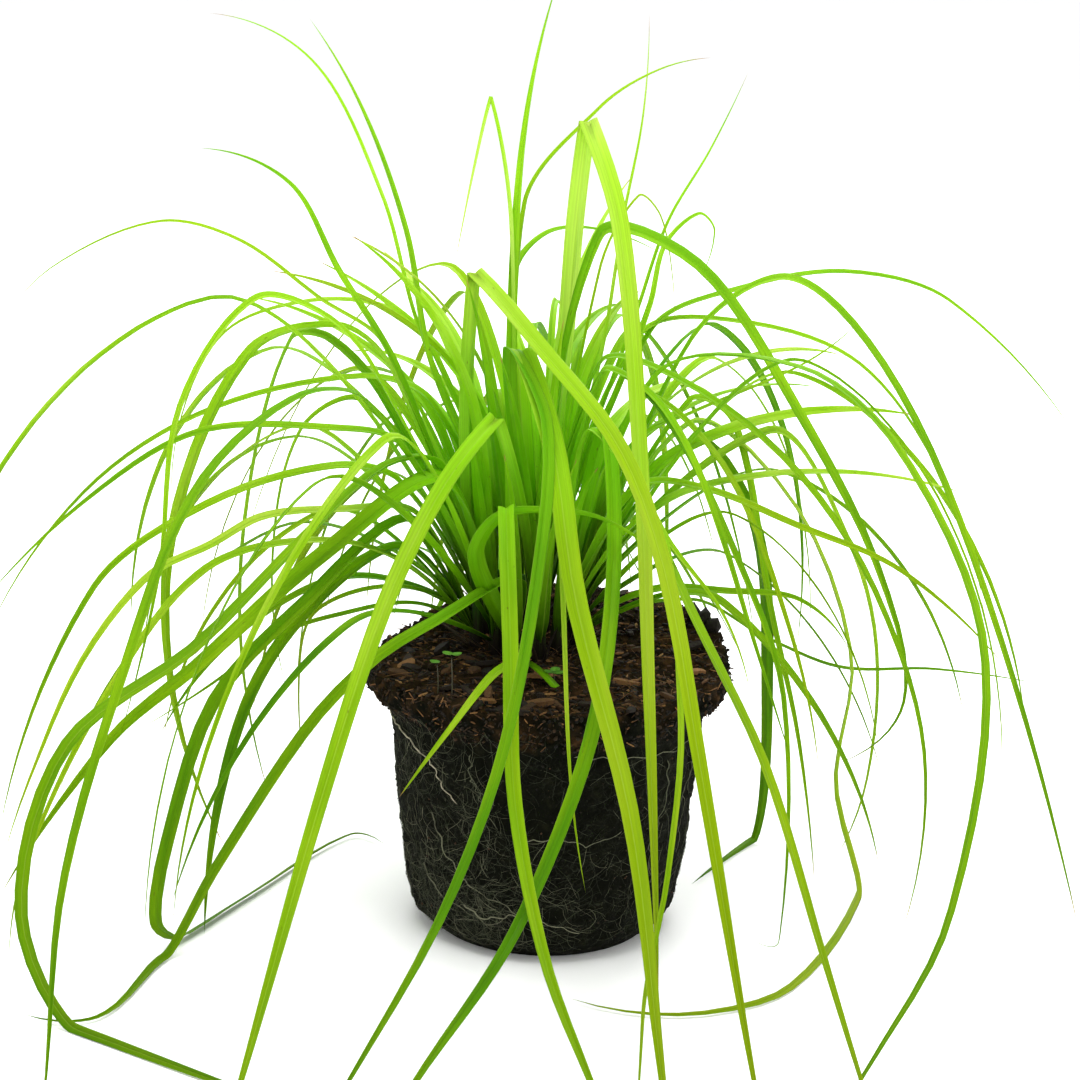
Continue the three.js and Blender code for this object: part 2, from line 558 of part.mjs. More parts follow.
// Room kept over the soil: for the chips outside the crown, and for the seedlings.
function clearOver(x, y) {
  const seedling = SEEDLINGS.find(({ at }) => Math.hypot(x - at[0], y - at[1]) < SEEDLING_ROOM);
  if (seedling) return seedling.height + SEEDLING_CLEAR;
  return Math.hypot(x - CROWN.x, y - CROWN.y) > CHIP_CROWN_GAP ? CHIP_RISE : SOIL_CLEAR;
}

function holdSoil() {
  const edge = LIP_RADIUS + 2;
  for (let x = -edge; x < edge; x++) {
    for (let y = -edge; y < edge; y++) {
      const radius = Math.hypot(x, y);
      if (radius > edge) continue;
      const low = radius < HELD_RADIUS ? 0 : LIP_START;
      const top = soilHeight(x, y) + clearOver(x, y);
      for (let z = low; z < top; z++) cells[cellAt(x, y, z)] = HELD_BY_SOIL;
    }
  }
}

function samplesOf(blade, stretches) {
  const samples = [];
  let done = 0;
  for (const stations of stretches) {
    for (let i = 0; i + 1 < stations.length; i++) {
      const [a, b] = [stations[i], stations[i + 1]];
      const length = a.spot.distanceTo(b.spot);
      const rows = Math.max(1, Math.ceil(length / SAMPLE_STEP));
      for (let row = 0; row < rows; row++) {
        const share = row / rows;
        const spot = mix(a.spot, b.spot, share);
        const across = mix(a.across, b.across, share);
        const half = halfWidth(blade, a.run * (1 - share) + b.run * share);
        const count = Math.max(1, Math.ceil((2 * half) / SAMPLE_STEP));
        for (let k = 0; k <= count; k++) {
          const shift = half * ((2 * k) / count - 1);
          const cell = cellAt(
            spot.x + across.x * shift,
            spot.y + across.y * shift,
            spot.z + across.z * shift,
          );
          samples.push({ cell, along: done + length * share });
        }
      }
      done += length;
    }
  }
  return samples;
}

function isFree(samples, own, strict) {
  return samples.every(({ cell, along }) => {
    const held = cells[cell];
    if (held === 0 || held === own) return true;
    if (held === HELD_BY_SOIL) return along < OPEN_RUN;
    return !strict && held === own + HELD_FAR;
  });
}

function hold(samples, own) {
  for (const far of [true, false]) {
    for (const { cell, along } of samples) {
      if ((along >= INNER_RUN) !== far) continue;
      for (let dx = -1; dx <= 1; dx++) {
        for (let dy = -1; dy <= 1; dy++) {
          for (let dz = -1; dz <= 1; dz++) {
            const near = cell + (dx * SPACE.y + dy) * SPACE.z + dz;
            if (cells[near] === 0) cells[near] = far ? own + HELD_FAR : own;
          }
        }
      }
    }
  }
}

const TURNS = [0, 3, -3, 6, -6, 9, -9, 12, -12, 16, -16];
const LIFTS = [1, 1.05, 0.95, 1.1, 0.9];
const ALL_MOVES = LIFTS.flatMap((lift) => TURNS.map((turn) => [turn, lift]));
const SMALL_TURN = 9;
const SMALL_LIFT = 0.06;
const SMALL_MOVES = ALL_MOVES.filter(([turn, lift]) => (
  Math.abs(turn) <= SMALL_TURN && Math.abs(lift - 1) <= SMALL_LIFT));

// Each blade keeps the first turn and lift at which it crosses no other shoot's blades.
function settle(blades, moves, strict) {
  for (const blade of blades) {
    if (blade.stretches) continue;
    const own = blade.shoot + 1;
    for (const [turn, lift] of moves) {
      const stretches = stretchesOf(blade, turn, lift);
      const samples = samplesOf(blade, stretches);
      if (!isFree(samples, own, strict)) continue;
      hold(samples, own);
      blade.stretches = stretches;
      break;
    }
  }
}

function settledBlades() {
  holdSoil();
  const leading = leadingBlades();
  settle(leading, SMALL_MOVES, true);
  settle(leading, SMALL_MOVES, false);
  settle(leading, ALL_MOVES, false);
  const fillers = fillerBlades();
  settle(fillers, ALL_MOVES, true);
  return [...leading, ...fillers].filter((blade) => blade.stretches);
}

// ---- Solids --------------------------------------------------------------------------------

// Corners nearer than this are one corner.
const WELD = 1e-3;

function solidFrom(geometry) {
  const bare = geometry.index || geometry.attributes.normal ? geometry.clone() : geometry;
  bare.deleteAttribute('normal');
  bare.deleteAttribute('uv');
  const merged = mergeVertices(bare, WELD);
  return new wasm.Manifold(new wasm.Mesh({
    numProp: 3,
    vertProperties: new Float32Array(merged.attributes.position.array),
    triVerts: new Uint32Array(merged.index.array),
  }));
}

function geometryFrom(solid) {
  const mesh = solid.getMesh();
  const geometry = new THREE.BufferGeometry();
  geometry.setAttribute('position', new THREE.BufferAttribute(mesh.vertProperties, 3));
  geometry.setIndex(new THREE.BufferAttribute(mesh.triVerts, 1));
  geometry.computeVertexNormals();
  return geometry;
}

function geometryOf(corners, triangles) {
  const geometry = new THREE.BufferGeometry();
  geometry.setAttribute('position', new THREE.Float32BufferAttribute(corners.flat(), 3));
  geometry.setIndex(triangles.flat());
  return geometry;
}

// A three-sided sliver: two edges and the keel under them, closed by a point or a cut end.
function stretchSolid(blade, stations) {
  const corners = [];
  const triangles = [];
  const pointed = stations[stations.length - 1].run > 0.999;
  const rings = pointed ? stations.length - 1 : stations.length;
  const add = (v) => corners.push([v.x, v.y, Math.max(v.z, LYING_CLEAR)]);
  for (const { spot, along, across, run } of stations.slice(0, rings)) {
    const half = halfWidth(blade, run);
    const down = along.clone().cross(across);
    add(spot.clone().addScaledVector(across, -half));
    add(spot.clone().addScaledVector(across, half));
    add(spot.clone().addScaledVector(down, KEEL_DEPTH - KEEL_TAPER * run));
  }
  for (let ring = 0; ring + 1 < rings; ring++) {
    for (let side = 0; side < 3; side++) {
      const a = ring * 3 + side;
      const b = ring * 3 + ((side + 1) % 3);
      triangles.push([a, b, b + 3], [a, b + 3, a + 3]);
    }
  }
  triangles.push([0, 2, 1]);
  const end = (rings - 1) * 3;
  if (pointed) {
    add(stations[stations.length - 1].spot);
    for (let side = 0; side < 3; side++) {
      triangles.push([end + side, end + ((side + 1) % 3), rings * 3]);
    }
  } else {
    triangles.push([end, end + 1, end + 2]);
  }
  return solidFrom(geometryOf(corners, triangles));
}

function sheathSolid(shoot) {
  const foot = shootFoot(shoot);
  const end = -HOLE_DEPTH + SHEATH_END_GAP;
  const profile = [
    new THREE.Vector2(0, end),
    new THREE.Vector2(SHEATH_RADIUS * 0.9, end),
    new THREE.Vector2(SHEATH_RADIUS, 1),
    new THREE.Vector2(SHEATH_RADIUS * 0.85, SHEATH_RISE * 0.5),
    new THREE.Vector2(SHEATH_TOP_RADIUS, SHEATH_RISE),
    new THREE.Vector2(0, SHEATH_RISE + 1),
  ];
  const geometry = new THREE.LatheGeometry(profile, SHEATH_SIDES);
  geometry.rotateX(Math.PI / 2);
  geometry.translate(foot.x, foot.y, foot.z);
  return solidFrom(geometry);
}

function shootSolid(shoot, blades) {
  let solid = sheathSolid(shoot);
  for (const blade of blades.filter((b) => b.shoot === shoot)) {
    for (const stations of blade.stretches) solid = solid.add(stretchSolid(blade, stations));
  }
  // Blades that cross can wall in a hollow, whose skin faces inwards: it is left out, so filled.
  const welded = solidFrom(geometryFrom(solid));
  return wasm.Manifold.compose(welded.decompose().filter((skin) => skin.volume() > 0));
}

// ---- Root ball: moulded soil, surface roots, bark chips and the holes for the stems -----------

const BALL_SIDES = 32;
const SIDE_PROFILE = [
  [0, 0], [BASE_RADIUS, 0], [46.5, 7], [49.5, 18], [51.2, 32], [53, 50], [54.6, 66], [56, 80],
  [57.5, LIP_START], [62.5, 87], [LIP_RADIUS, 90], [63, 95],
];
const LIP_RING = 8; // row of the profile just under the collar
const TOP_RINGS = [0.93, 0.75, 0.55, 0.35, 0.18]; // shares of the last side radius
const SIDE_RELIEF = 0.8;
const LIP_RELIEF = 1.6;
const TOP_RELIEF = 1.8;
const TOP_GRAIN = 2; // how much finer the unevenness of the top is
const RAISED_OVER = 11; // height over which the side follows the soil's rise

// The moulded radius at a compass angle: the collar steps out most at the two sides.
function collaredRadius(radius, angle) {
  const side = SIDE_PROFILE[LIP_RING][0];
  const share = LIP_FRONT_SHARE + (1 - LIP_FRONT_SHARE) * Math.cos(angle) ** 4;
  return side + (radius - side) * share;
}

// An uneven value between -1 and 1 that depends only on the place.
function crumbs(x, y, z) {
  const across = Math.sin(0.23 * x + 1.3) * Math.sin(0.21 * y - 0.4);
  const coarse = across + Math.sin(0.19 * z + 0.15 * x);
  const fine = Math.sin(0.83 * x + 0.6 * z) * Math.cos(0.77 * y - 0.5 * z);
  return 0.35 * coarse + 0.3 * fine;
}

function ballSolid() {
  const rim = SIDE_PROFILE[SIDE_PROFILE.length - 1][0];
  const rings = TOP_RINGS.map((share) => [rim * share, BALL_HEIGHT]);
  const profile = [...SIDE_PROFILE, ...rings, [0, BALL_HEIGHT]];
  const lathe = new THREE.LatheGeometry(profile.map((p) => new THREE.Vector2(...p)), BALL_SIDES);
  lathe.rotateX(Math.PI / 2);
  lathe.deleteAttribute('normal');
  lathe.deleteAttribute('uv');
  const geometry = mergeVertices(lathe, WELD);
  const corners = geometry.attributes.position;
  for (let i = 0; i < corners.count; i++) {
    const z = corners.getZ(i);
    if (z < 1) continue;
    const isTop = z > BALL_HEIGHT - 0.5;
    const plain = Math.hypot(corners.getX(i), corners.getY(i));
    const collar = Math.max(plain, isTop ? rim : 0);
    const angle = Math.atan2(corners.getY(i), corners.getX(i));
    const fit = z > LIP_START + 0.5 ? collaredRadius(collar, angle) / collar : 1;
    const [x, y] = [corners.getX(i) * fit, corners.getY(i) * fit];
    const raised = (soilHeight(x, y) - BALL_HEIGHT) * smooth((z - LIP_START) / RAISED_OVER);
    const relief = z > LIP_START - 1 ? LIP_RELIEF : SIDE_RELIEF;
    const swell = isTop ? 1 : 1 + (relief * crumbs(x, y, z)) / Math.hypot(x, y);
    const uneven = 0.5 + 0.5 * crumbs(TOP_GRAIN * x, TOP_GRAIN * y, z);
    const sunk = isTop ? TOP_RELIEF * uneven : 0;
    corners.setXYZ(i, x * swell, y * swell, z + raised - sunk);
  }
  return solidFrom(geometry);
}

// Radius of the moulded side at a height, used to lay the surface roots on it.
function sideRadius(z) {
  const above = SIDE_PROFILE.findIndex((p, i) => i > 1 && p[1] >= z);
  const [low, high] = [SIDE_PROFILE[above - 1], SIDE_PROFILE[above]];
  return low[0] + ((high[0] - low[0]) * (z - low[1])) / (high[1] - low[1]);
}

// Roots on the side: radius, then compass angle in degrees and height of each point.
const SURFACE_ROOTS = [
  [0.7, [236, 79], [232, 72], [236, 62], [242, 50], [250, 44], [262, 30]],
  [0.6, [243, 78], [242, 69], [246, 64], [247, 58]],
  [0.6, [262, 48], [274, 50], [286, 46], [300, 50]],
  [0.6, [222, 52], [230, 38], [240, 28], [256, 22], [272, 16]],
  [0.6, [214, 30], [226, 20], [240, 16], [256, 12]],
  [0.6, [318, 74], [322, 58], [314, 42], [318, 26]],
  [0.6, [340, 70], [332, 50], [338, 32]],
  [0.6, [60, 66], [84, 60], [104, 50], [128, 54]],
  [0.6, [20, 58], [34, 44], [30, 28]],
  [0.6, [160, 62], [172, 44], [190, 36]],
];
const ROOT_SINK = 0.25; // how deep a root's middle lies in the side

function rootSolid([radius, ...places]) {
  const points = places.map(([degrees, z]) => {
    const reach = sideRadius(z) - ROOT_SINK;
    const angle = (degrees * Math.PI) / 180;
    return new THREE.Vector3(reach * Math.cos(angle), reach * Math.sin(angle), z);
  });
  const section = new THREE.Shape(new THREE.EllipseCurve(0, 0, radius, radius).getPoints(5));
  return solidFrom(new THREE.ExtrudeGeometry(section, {
    steps: 3 * (points.length - 1),
    extrudePath: new THREE.CatmullRomCurve3(points),
  }));
}

const CHIP_SEED = 71;
const CHIP_SIZES = [[5, 10], [3.5, 5.5], [2.6, 3.4]]; // least and most length, breadth, thickness
const CHIP_TILTS = [0.18, 0.15]; // radians, either way, across and along the chip
const CHIP_SINK = 0.2;
const CHIP_SEEDLING_GAP = 9;

function chipSolids() {
  const draw = new Draw(CHIP_SEED);
  const chips = [];
  while (chips.length < CHIPS) {
    const radius = draw.span(...CHIP_RING);
    const angle = draw.span(0, 2 * Math.PI);
    const [x, y] = [radius * Math.cos(angle), radius * Math.sin(angle)];
    const size = CHIP_SIZES.map((range) => draw.span(...range));
    const tilts = CHIP_TILTS.map((most) => draw.span(-most, most));
    const turn = new THREE.Euler(...tilts, draw.span(0, 3));
    const near = SEEDLINGS.some(({ at: [sx, sy] }) => (
      Math.hypot(x - sx, y - sy) < CHIP_SEEDLING_GAP));
    if (near || Math.hypot(x - CROWN.x, y - CROWN.y) < CHIP_CROWN_GAP) continue;
    const chip = new THREE.BoxGeometry(...size);
    chip.applyMatrix4(new THREE.Matrix4().makeRotationFromEuler(turn));
    chip.translate(x, y, soilHeight(x, y) - CHIP_SINK);
    chips.push(solidFrom(chip));
  }
  return chips;
}

const HOLE_HEADROOM = 20; // how far the cutter of a hole stands out of the soil

function holeSolid(x, y, radius, depth) {
  const floor = soilHeight(x, y) - depth;
  const length = depth + HOLE_HEADROOM;
  const hole = new THREE.CylinderGeometry(radius, radius, length, SHEATH_SIDES);
  hole.rotateX(Math.PI / 2);
  hole.translate(x, y, floor + length / 2);
  return solidFrom(hole);
}

function rootBallSolid() {
  let solid = ballSolid();
  for (const root of SURFACE_ROOTS) solid = solid.add(rootSolid(root));
  for (const chip of chipSolids()) solid = solid.add(chip);
  for (let shoot = 0; shoot < SHOOTS; shoot++) {
    const foot = shootFoot(shoot);
    const radius = (SHEATH_RADIUS + HOLE_GAP) / Math.cos(Math.PI / SHEATH_SIDES);
    solid = solid.subtract(holeSolid(foot.x, foot.y, radius, HOLE_DEPTH));
  }
  for (const { at } of SEEDLINGS) {
    solid = solid.subtract(holeSolid(...at, STALK_RADIUS + HOLE_GAP, STALK_DEPTH));
  }
  return solid;
}

// ---- The part ------------------------------------------------------------------------------

const SOIL = { color: 0x3b2719, roughness: 0.95 };
const BLADE = { color: 0x8fc41e, roughness: 0.45 };
const SEED_LEAF = { color: 0x6fa32c, roughness: 0.5 };
const part = new THREE.Group();

function addPiece(name, solid, look) {
  const material = new THREE.MeshStandardMaterial({ ...look, metalness: 0 });
  const mesh = new THREE.Mesh(geometryFrom(solid), material);
  mesh.name = name;
  part.add(mesh);
}

addPiece('root_ball', rootBallSolid(), SOIL);
const blades = settledBlades();
for (let shoot = 0; shoot < SHOOTS; shoot++) {
  const name = `shoot_${String(shoot + 1).padStart(2, '0')}`;
  addPiece(name, shootSolid(shoot, blades), BLADE);
}
SEEDLINGS.forEach((seedling, i) => {
  addPiece(`seedling_${i + 1}`, seedlingSolid(seedling), SEED_LEAF);
});

export default part;
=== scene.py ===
"""A young lime-green carex sedge on its bare root ball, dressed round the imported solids.

Lengths are in millimetres until a mesh is made. The soil's height, the shoots' feet and every
blade's path follow the same rules as the solids, and the turn and lift of each blade are read from
the frame, so each blade lies where its solid is.
"""

import math

import bpy
import numpy as np
from mathutils import Matrix, Vector, kdtree, noise


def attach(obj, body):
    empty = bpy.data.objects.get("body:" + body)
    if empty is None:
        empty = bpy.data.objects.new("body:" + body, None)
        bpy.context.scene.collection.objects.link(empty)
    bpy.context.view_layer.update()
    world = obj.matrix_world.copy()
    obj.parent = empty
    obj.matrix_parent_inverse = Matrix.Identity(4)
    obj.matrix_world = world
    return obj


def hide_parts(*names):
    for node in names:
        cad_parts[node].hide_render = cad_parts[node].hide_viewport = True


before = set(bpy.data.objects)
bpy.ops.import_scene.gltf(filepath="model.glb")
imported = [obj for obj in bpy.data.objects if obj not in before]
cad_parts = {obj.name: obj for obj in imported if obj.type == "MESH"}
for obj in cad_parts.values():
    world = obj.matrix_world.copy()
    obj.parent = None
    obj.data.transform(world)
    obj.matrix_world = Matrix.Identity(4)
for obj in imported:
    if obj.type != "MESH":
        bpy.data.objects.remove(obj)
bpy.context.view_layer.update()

MM = 0.001
SEED = 20241
ROOT_SEED = SEED + 50
BARK_SEED = SEED + 80
CRUMB_SEED = SEED + 90
SEEDLING_SEED = SEED + 100
DRY_SEED = SEED + 120

# ---- Sizes shared with the solids ----

BALL_HEIGHT = 96
BASE_RADIUS = 39
LIP_RADIUS = 64
LIP_START = 84
LIP_FRONT_SHARE = 0.2
CROWN_MOUND = 4
MOUND_SPREAD = 30
BACK_RISE = 12
BACK_LEAN = 0.35
BACK_START = -10
BACK_RUN = 75
CROWN = (-8, 14)
OUTER_SHOOTS = 12
OUTER_RADIUS = 17
INNER_SHOOTS = 4
INNER_RADIUS = 6
FOOT_SCATTER = 1.6
SHOOTS = OUTER_SHOOTS + INNER_SHOOTS
SHEATH_RADIUS = 3
SHEATH_TOP_RADIUS = 1.2
SHEATH_RISE = 19
ROOT_SETOFF = 1.2
FIRST_RISE = 3
RISE_SPAN = 14
LOW_START = 120
START_RANGE = 150
BASE_WIDTH = 0.5
FULL_FROM = 0.12
SLENDER = 1.3
BROAD = 2.6
FRONT_TIP = -85
BLADE_STEPS = 7
SHORT_BLADE = 4
STEPS_PER_POINT = 2
CREASED_STEPS = (4, 6)
CREASE_THROW = 1.3
FILLERS_PER_SHOOT = 38
CHIP_CROWN_GAP = 27
LYING_HEIGHT = 1.4
LYING_CLEAR = 0.25
LYING_BELOW = 8
FRONT_WINDOW = 0.75
RIGHT_SIDE = 0.35
RIGHT_EVERY = 10
LEFT_EVERY = 6
OLD_SHARE = 0.66
WIDTHS = (6.5, 9.5)
ARCHING_WIDTH = 0.6
REACHES = (0.75, 1.2)
HEIGHTS = (0.85, 1.15)
FALLS = (0.7, 1.3)
MOST_TWIST = 75
TIP_TURN = 0.25
FANS = (0.42, 1.5)
DEEPEST_TIP = -8

# For the oldest and the youngest blade of each kind that fills the tuft: how far out and how high it
# reaches, how far beyond its tip lies and how much higher than the top; then the share of the reach
# and of the height that its middle point has.
ARCHING = ((60, 82), (18, 116), (64, 88), (-75, -140), (1, 1))
UPRIGHT = ((66, 26), (92, 147), (66, 41), (-30, 30), (0.55, 0.72))
SHORT = ((8, 24), (50, 110), (9.6, 28.8), (30, 56), (1, 1))

TIP_SHARE = 0.3
BEND_WEIGHT = 0.9
POINTEDNESS = 0.8
LEAST_CLIMB = 20
LEAN = 0.45
OUTER_LEAN = 0.12
MOST_LEAN = 1.6
OUTER_PULL = 0.7
SPAN_STEPS = 14
NECK_RADIUS = 57.5
RIM_RADIUS = 63
SIDE_PROFILE = (
    (0, 0), (BASE_RADIUS, 0), (46.5, 7), (49.5, 18), (51.2, 32), (53, 50), (54.6, 66), (56, 80),
    (NECK_RADIUS, LIP_START), (62.5, 87), (LIP_RADIUS, 90), (RIM_RADIUS, 95),
)
SIDE_RELIEF = 0.8
LIP_RELIEF = 1.6
TOP_RELIEF = 1.8
TOP_GRAIN = 2
RAISED_OVER = 11

# Foot on the soil, height of the leaves over it, and the leaves: compass angle in degrees,
# distance of the middle from the stalk, radius.
SEEDLINGS = (
    ((-38, -35), 10, ((200, 1, 1.9),)),
    ((-33, -40), 14.5, ((170, 1.6, 1.9), (350, 1.6, 1.9))),
    ((2, -26), 4, ((200, 1.9, 2.2), (320, 2.1, 2.5), (80, 1.9, 2.1))),
)

# A short leaf cut off square: from where to where, how far it arches up between, and its width.
CUT_LEAF = ((-11, -13, 101), (2.5, -37, 98.5))
CUT_LEAF_ARCH = 1.4
CUT_LEAF_WIDTH = 3.4

# Lumps of soil left standing at the rear of the rim: place, height over the soil and size.
REAR_LUMPS = ((56, 22, 1.5, 9), (59, 19, 0, 8), (53, 27, 1, 7))

# Roots on the side: radius and paleness, then compass angle in degrees and height of each point.
SURFACE_ROOTS = (
    (0.34, 1.0, (196, 86), (198, 80), (206, 78), (218, 74), (225, 70), (229, 64), (236, 58)),
    (0.2, 0.8, (280, 80), (290, 79), (308, 77), (326, 76), (338, 79)),
    (0.2, 0.6, (243, 78), (242, 69), (246, 64), (247, 58)),
    (0.22, 0.7, (262, 48), (274, 50), (286, 46), (300, 50)),
    (0.24, 0.75, (222, 52), (230, 38), (240, 28), (256, 22), (272, 16)),
    (0.28, 0.85, (236, 20), (246, 16), (258, 19), (272, 17), (286, 12)),
    (0.24, 0.7, (214, 30), (226, 20), (240, 16), (256, 12)),
    (0.2, 0.6, (318, 74), (322, 58), (314, 42), (318, 26)),
    (0.2, 0.6, (340, 70), (332, 50), (338, 32)),
    (0.24, 0.6, (60, 66), (84, 60), (104, 50), (128, 54)),
    (0.24, 0.6, (20, 58), (34, 44), (30, 28)),
    (0.24, 0.6, (160, 62), (172, 44), (190, 36)),
)

# ---- The leading blades, as in the solids ----
# Shoot, width, twist at the tip in degrees, number of the point where the blade is creased over
# (0 for none), then the points that it passes after leaving its sheath.

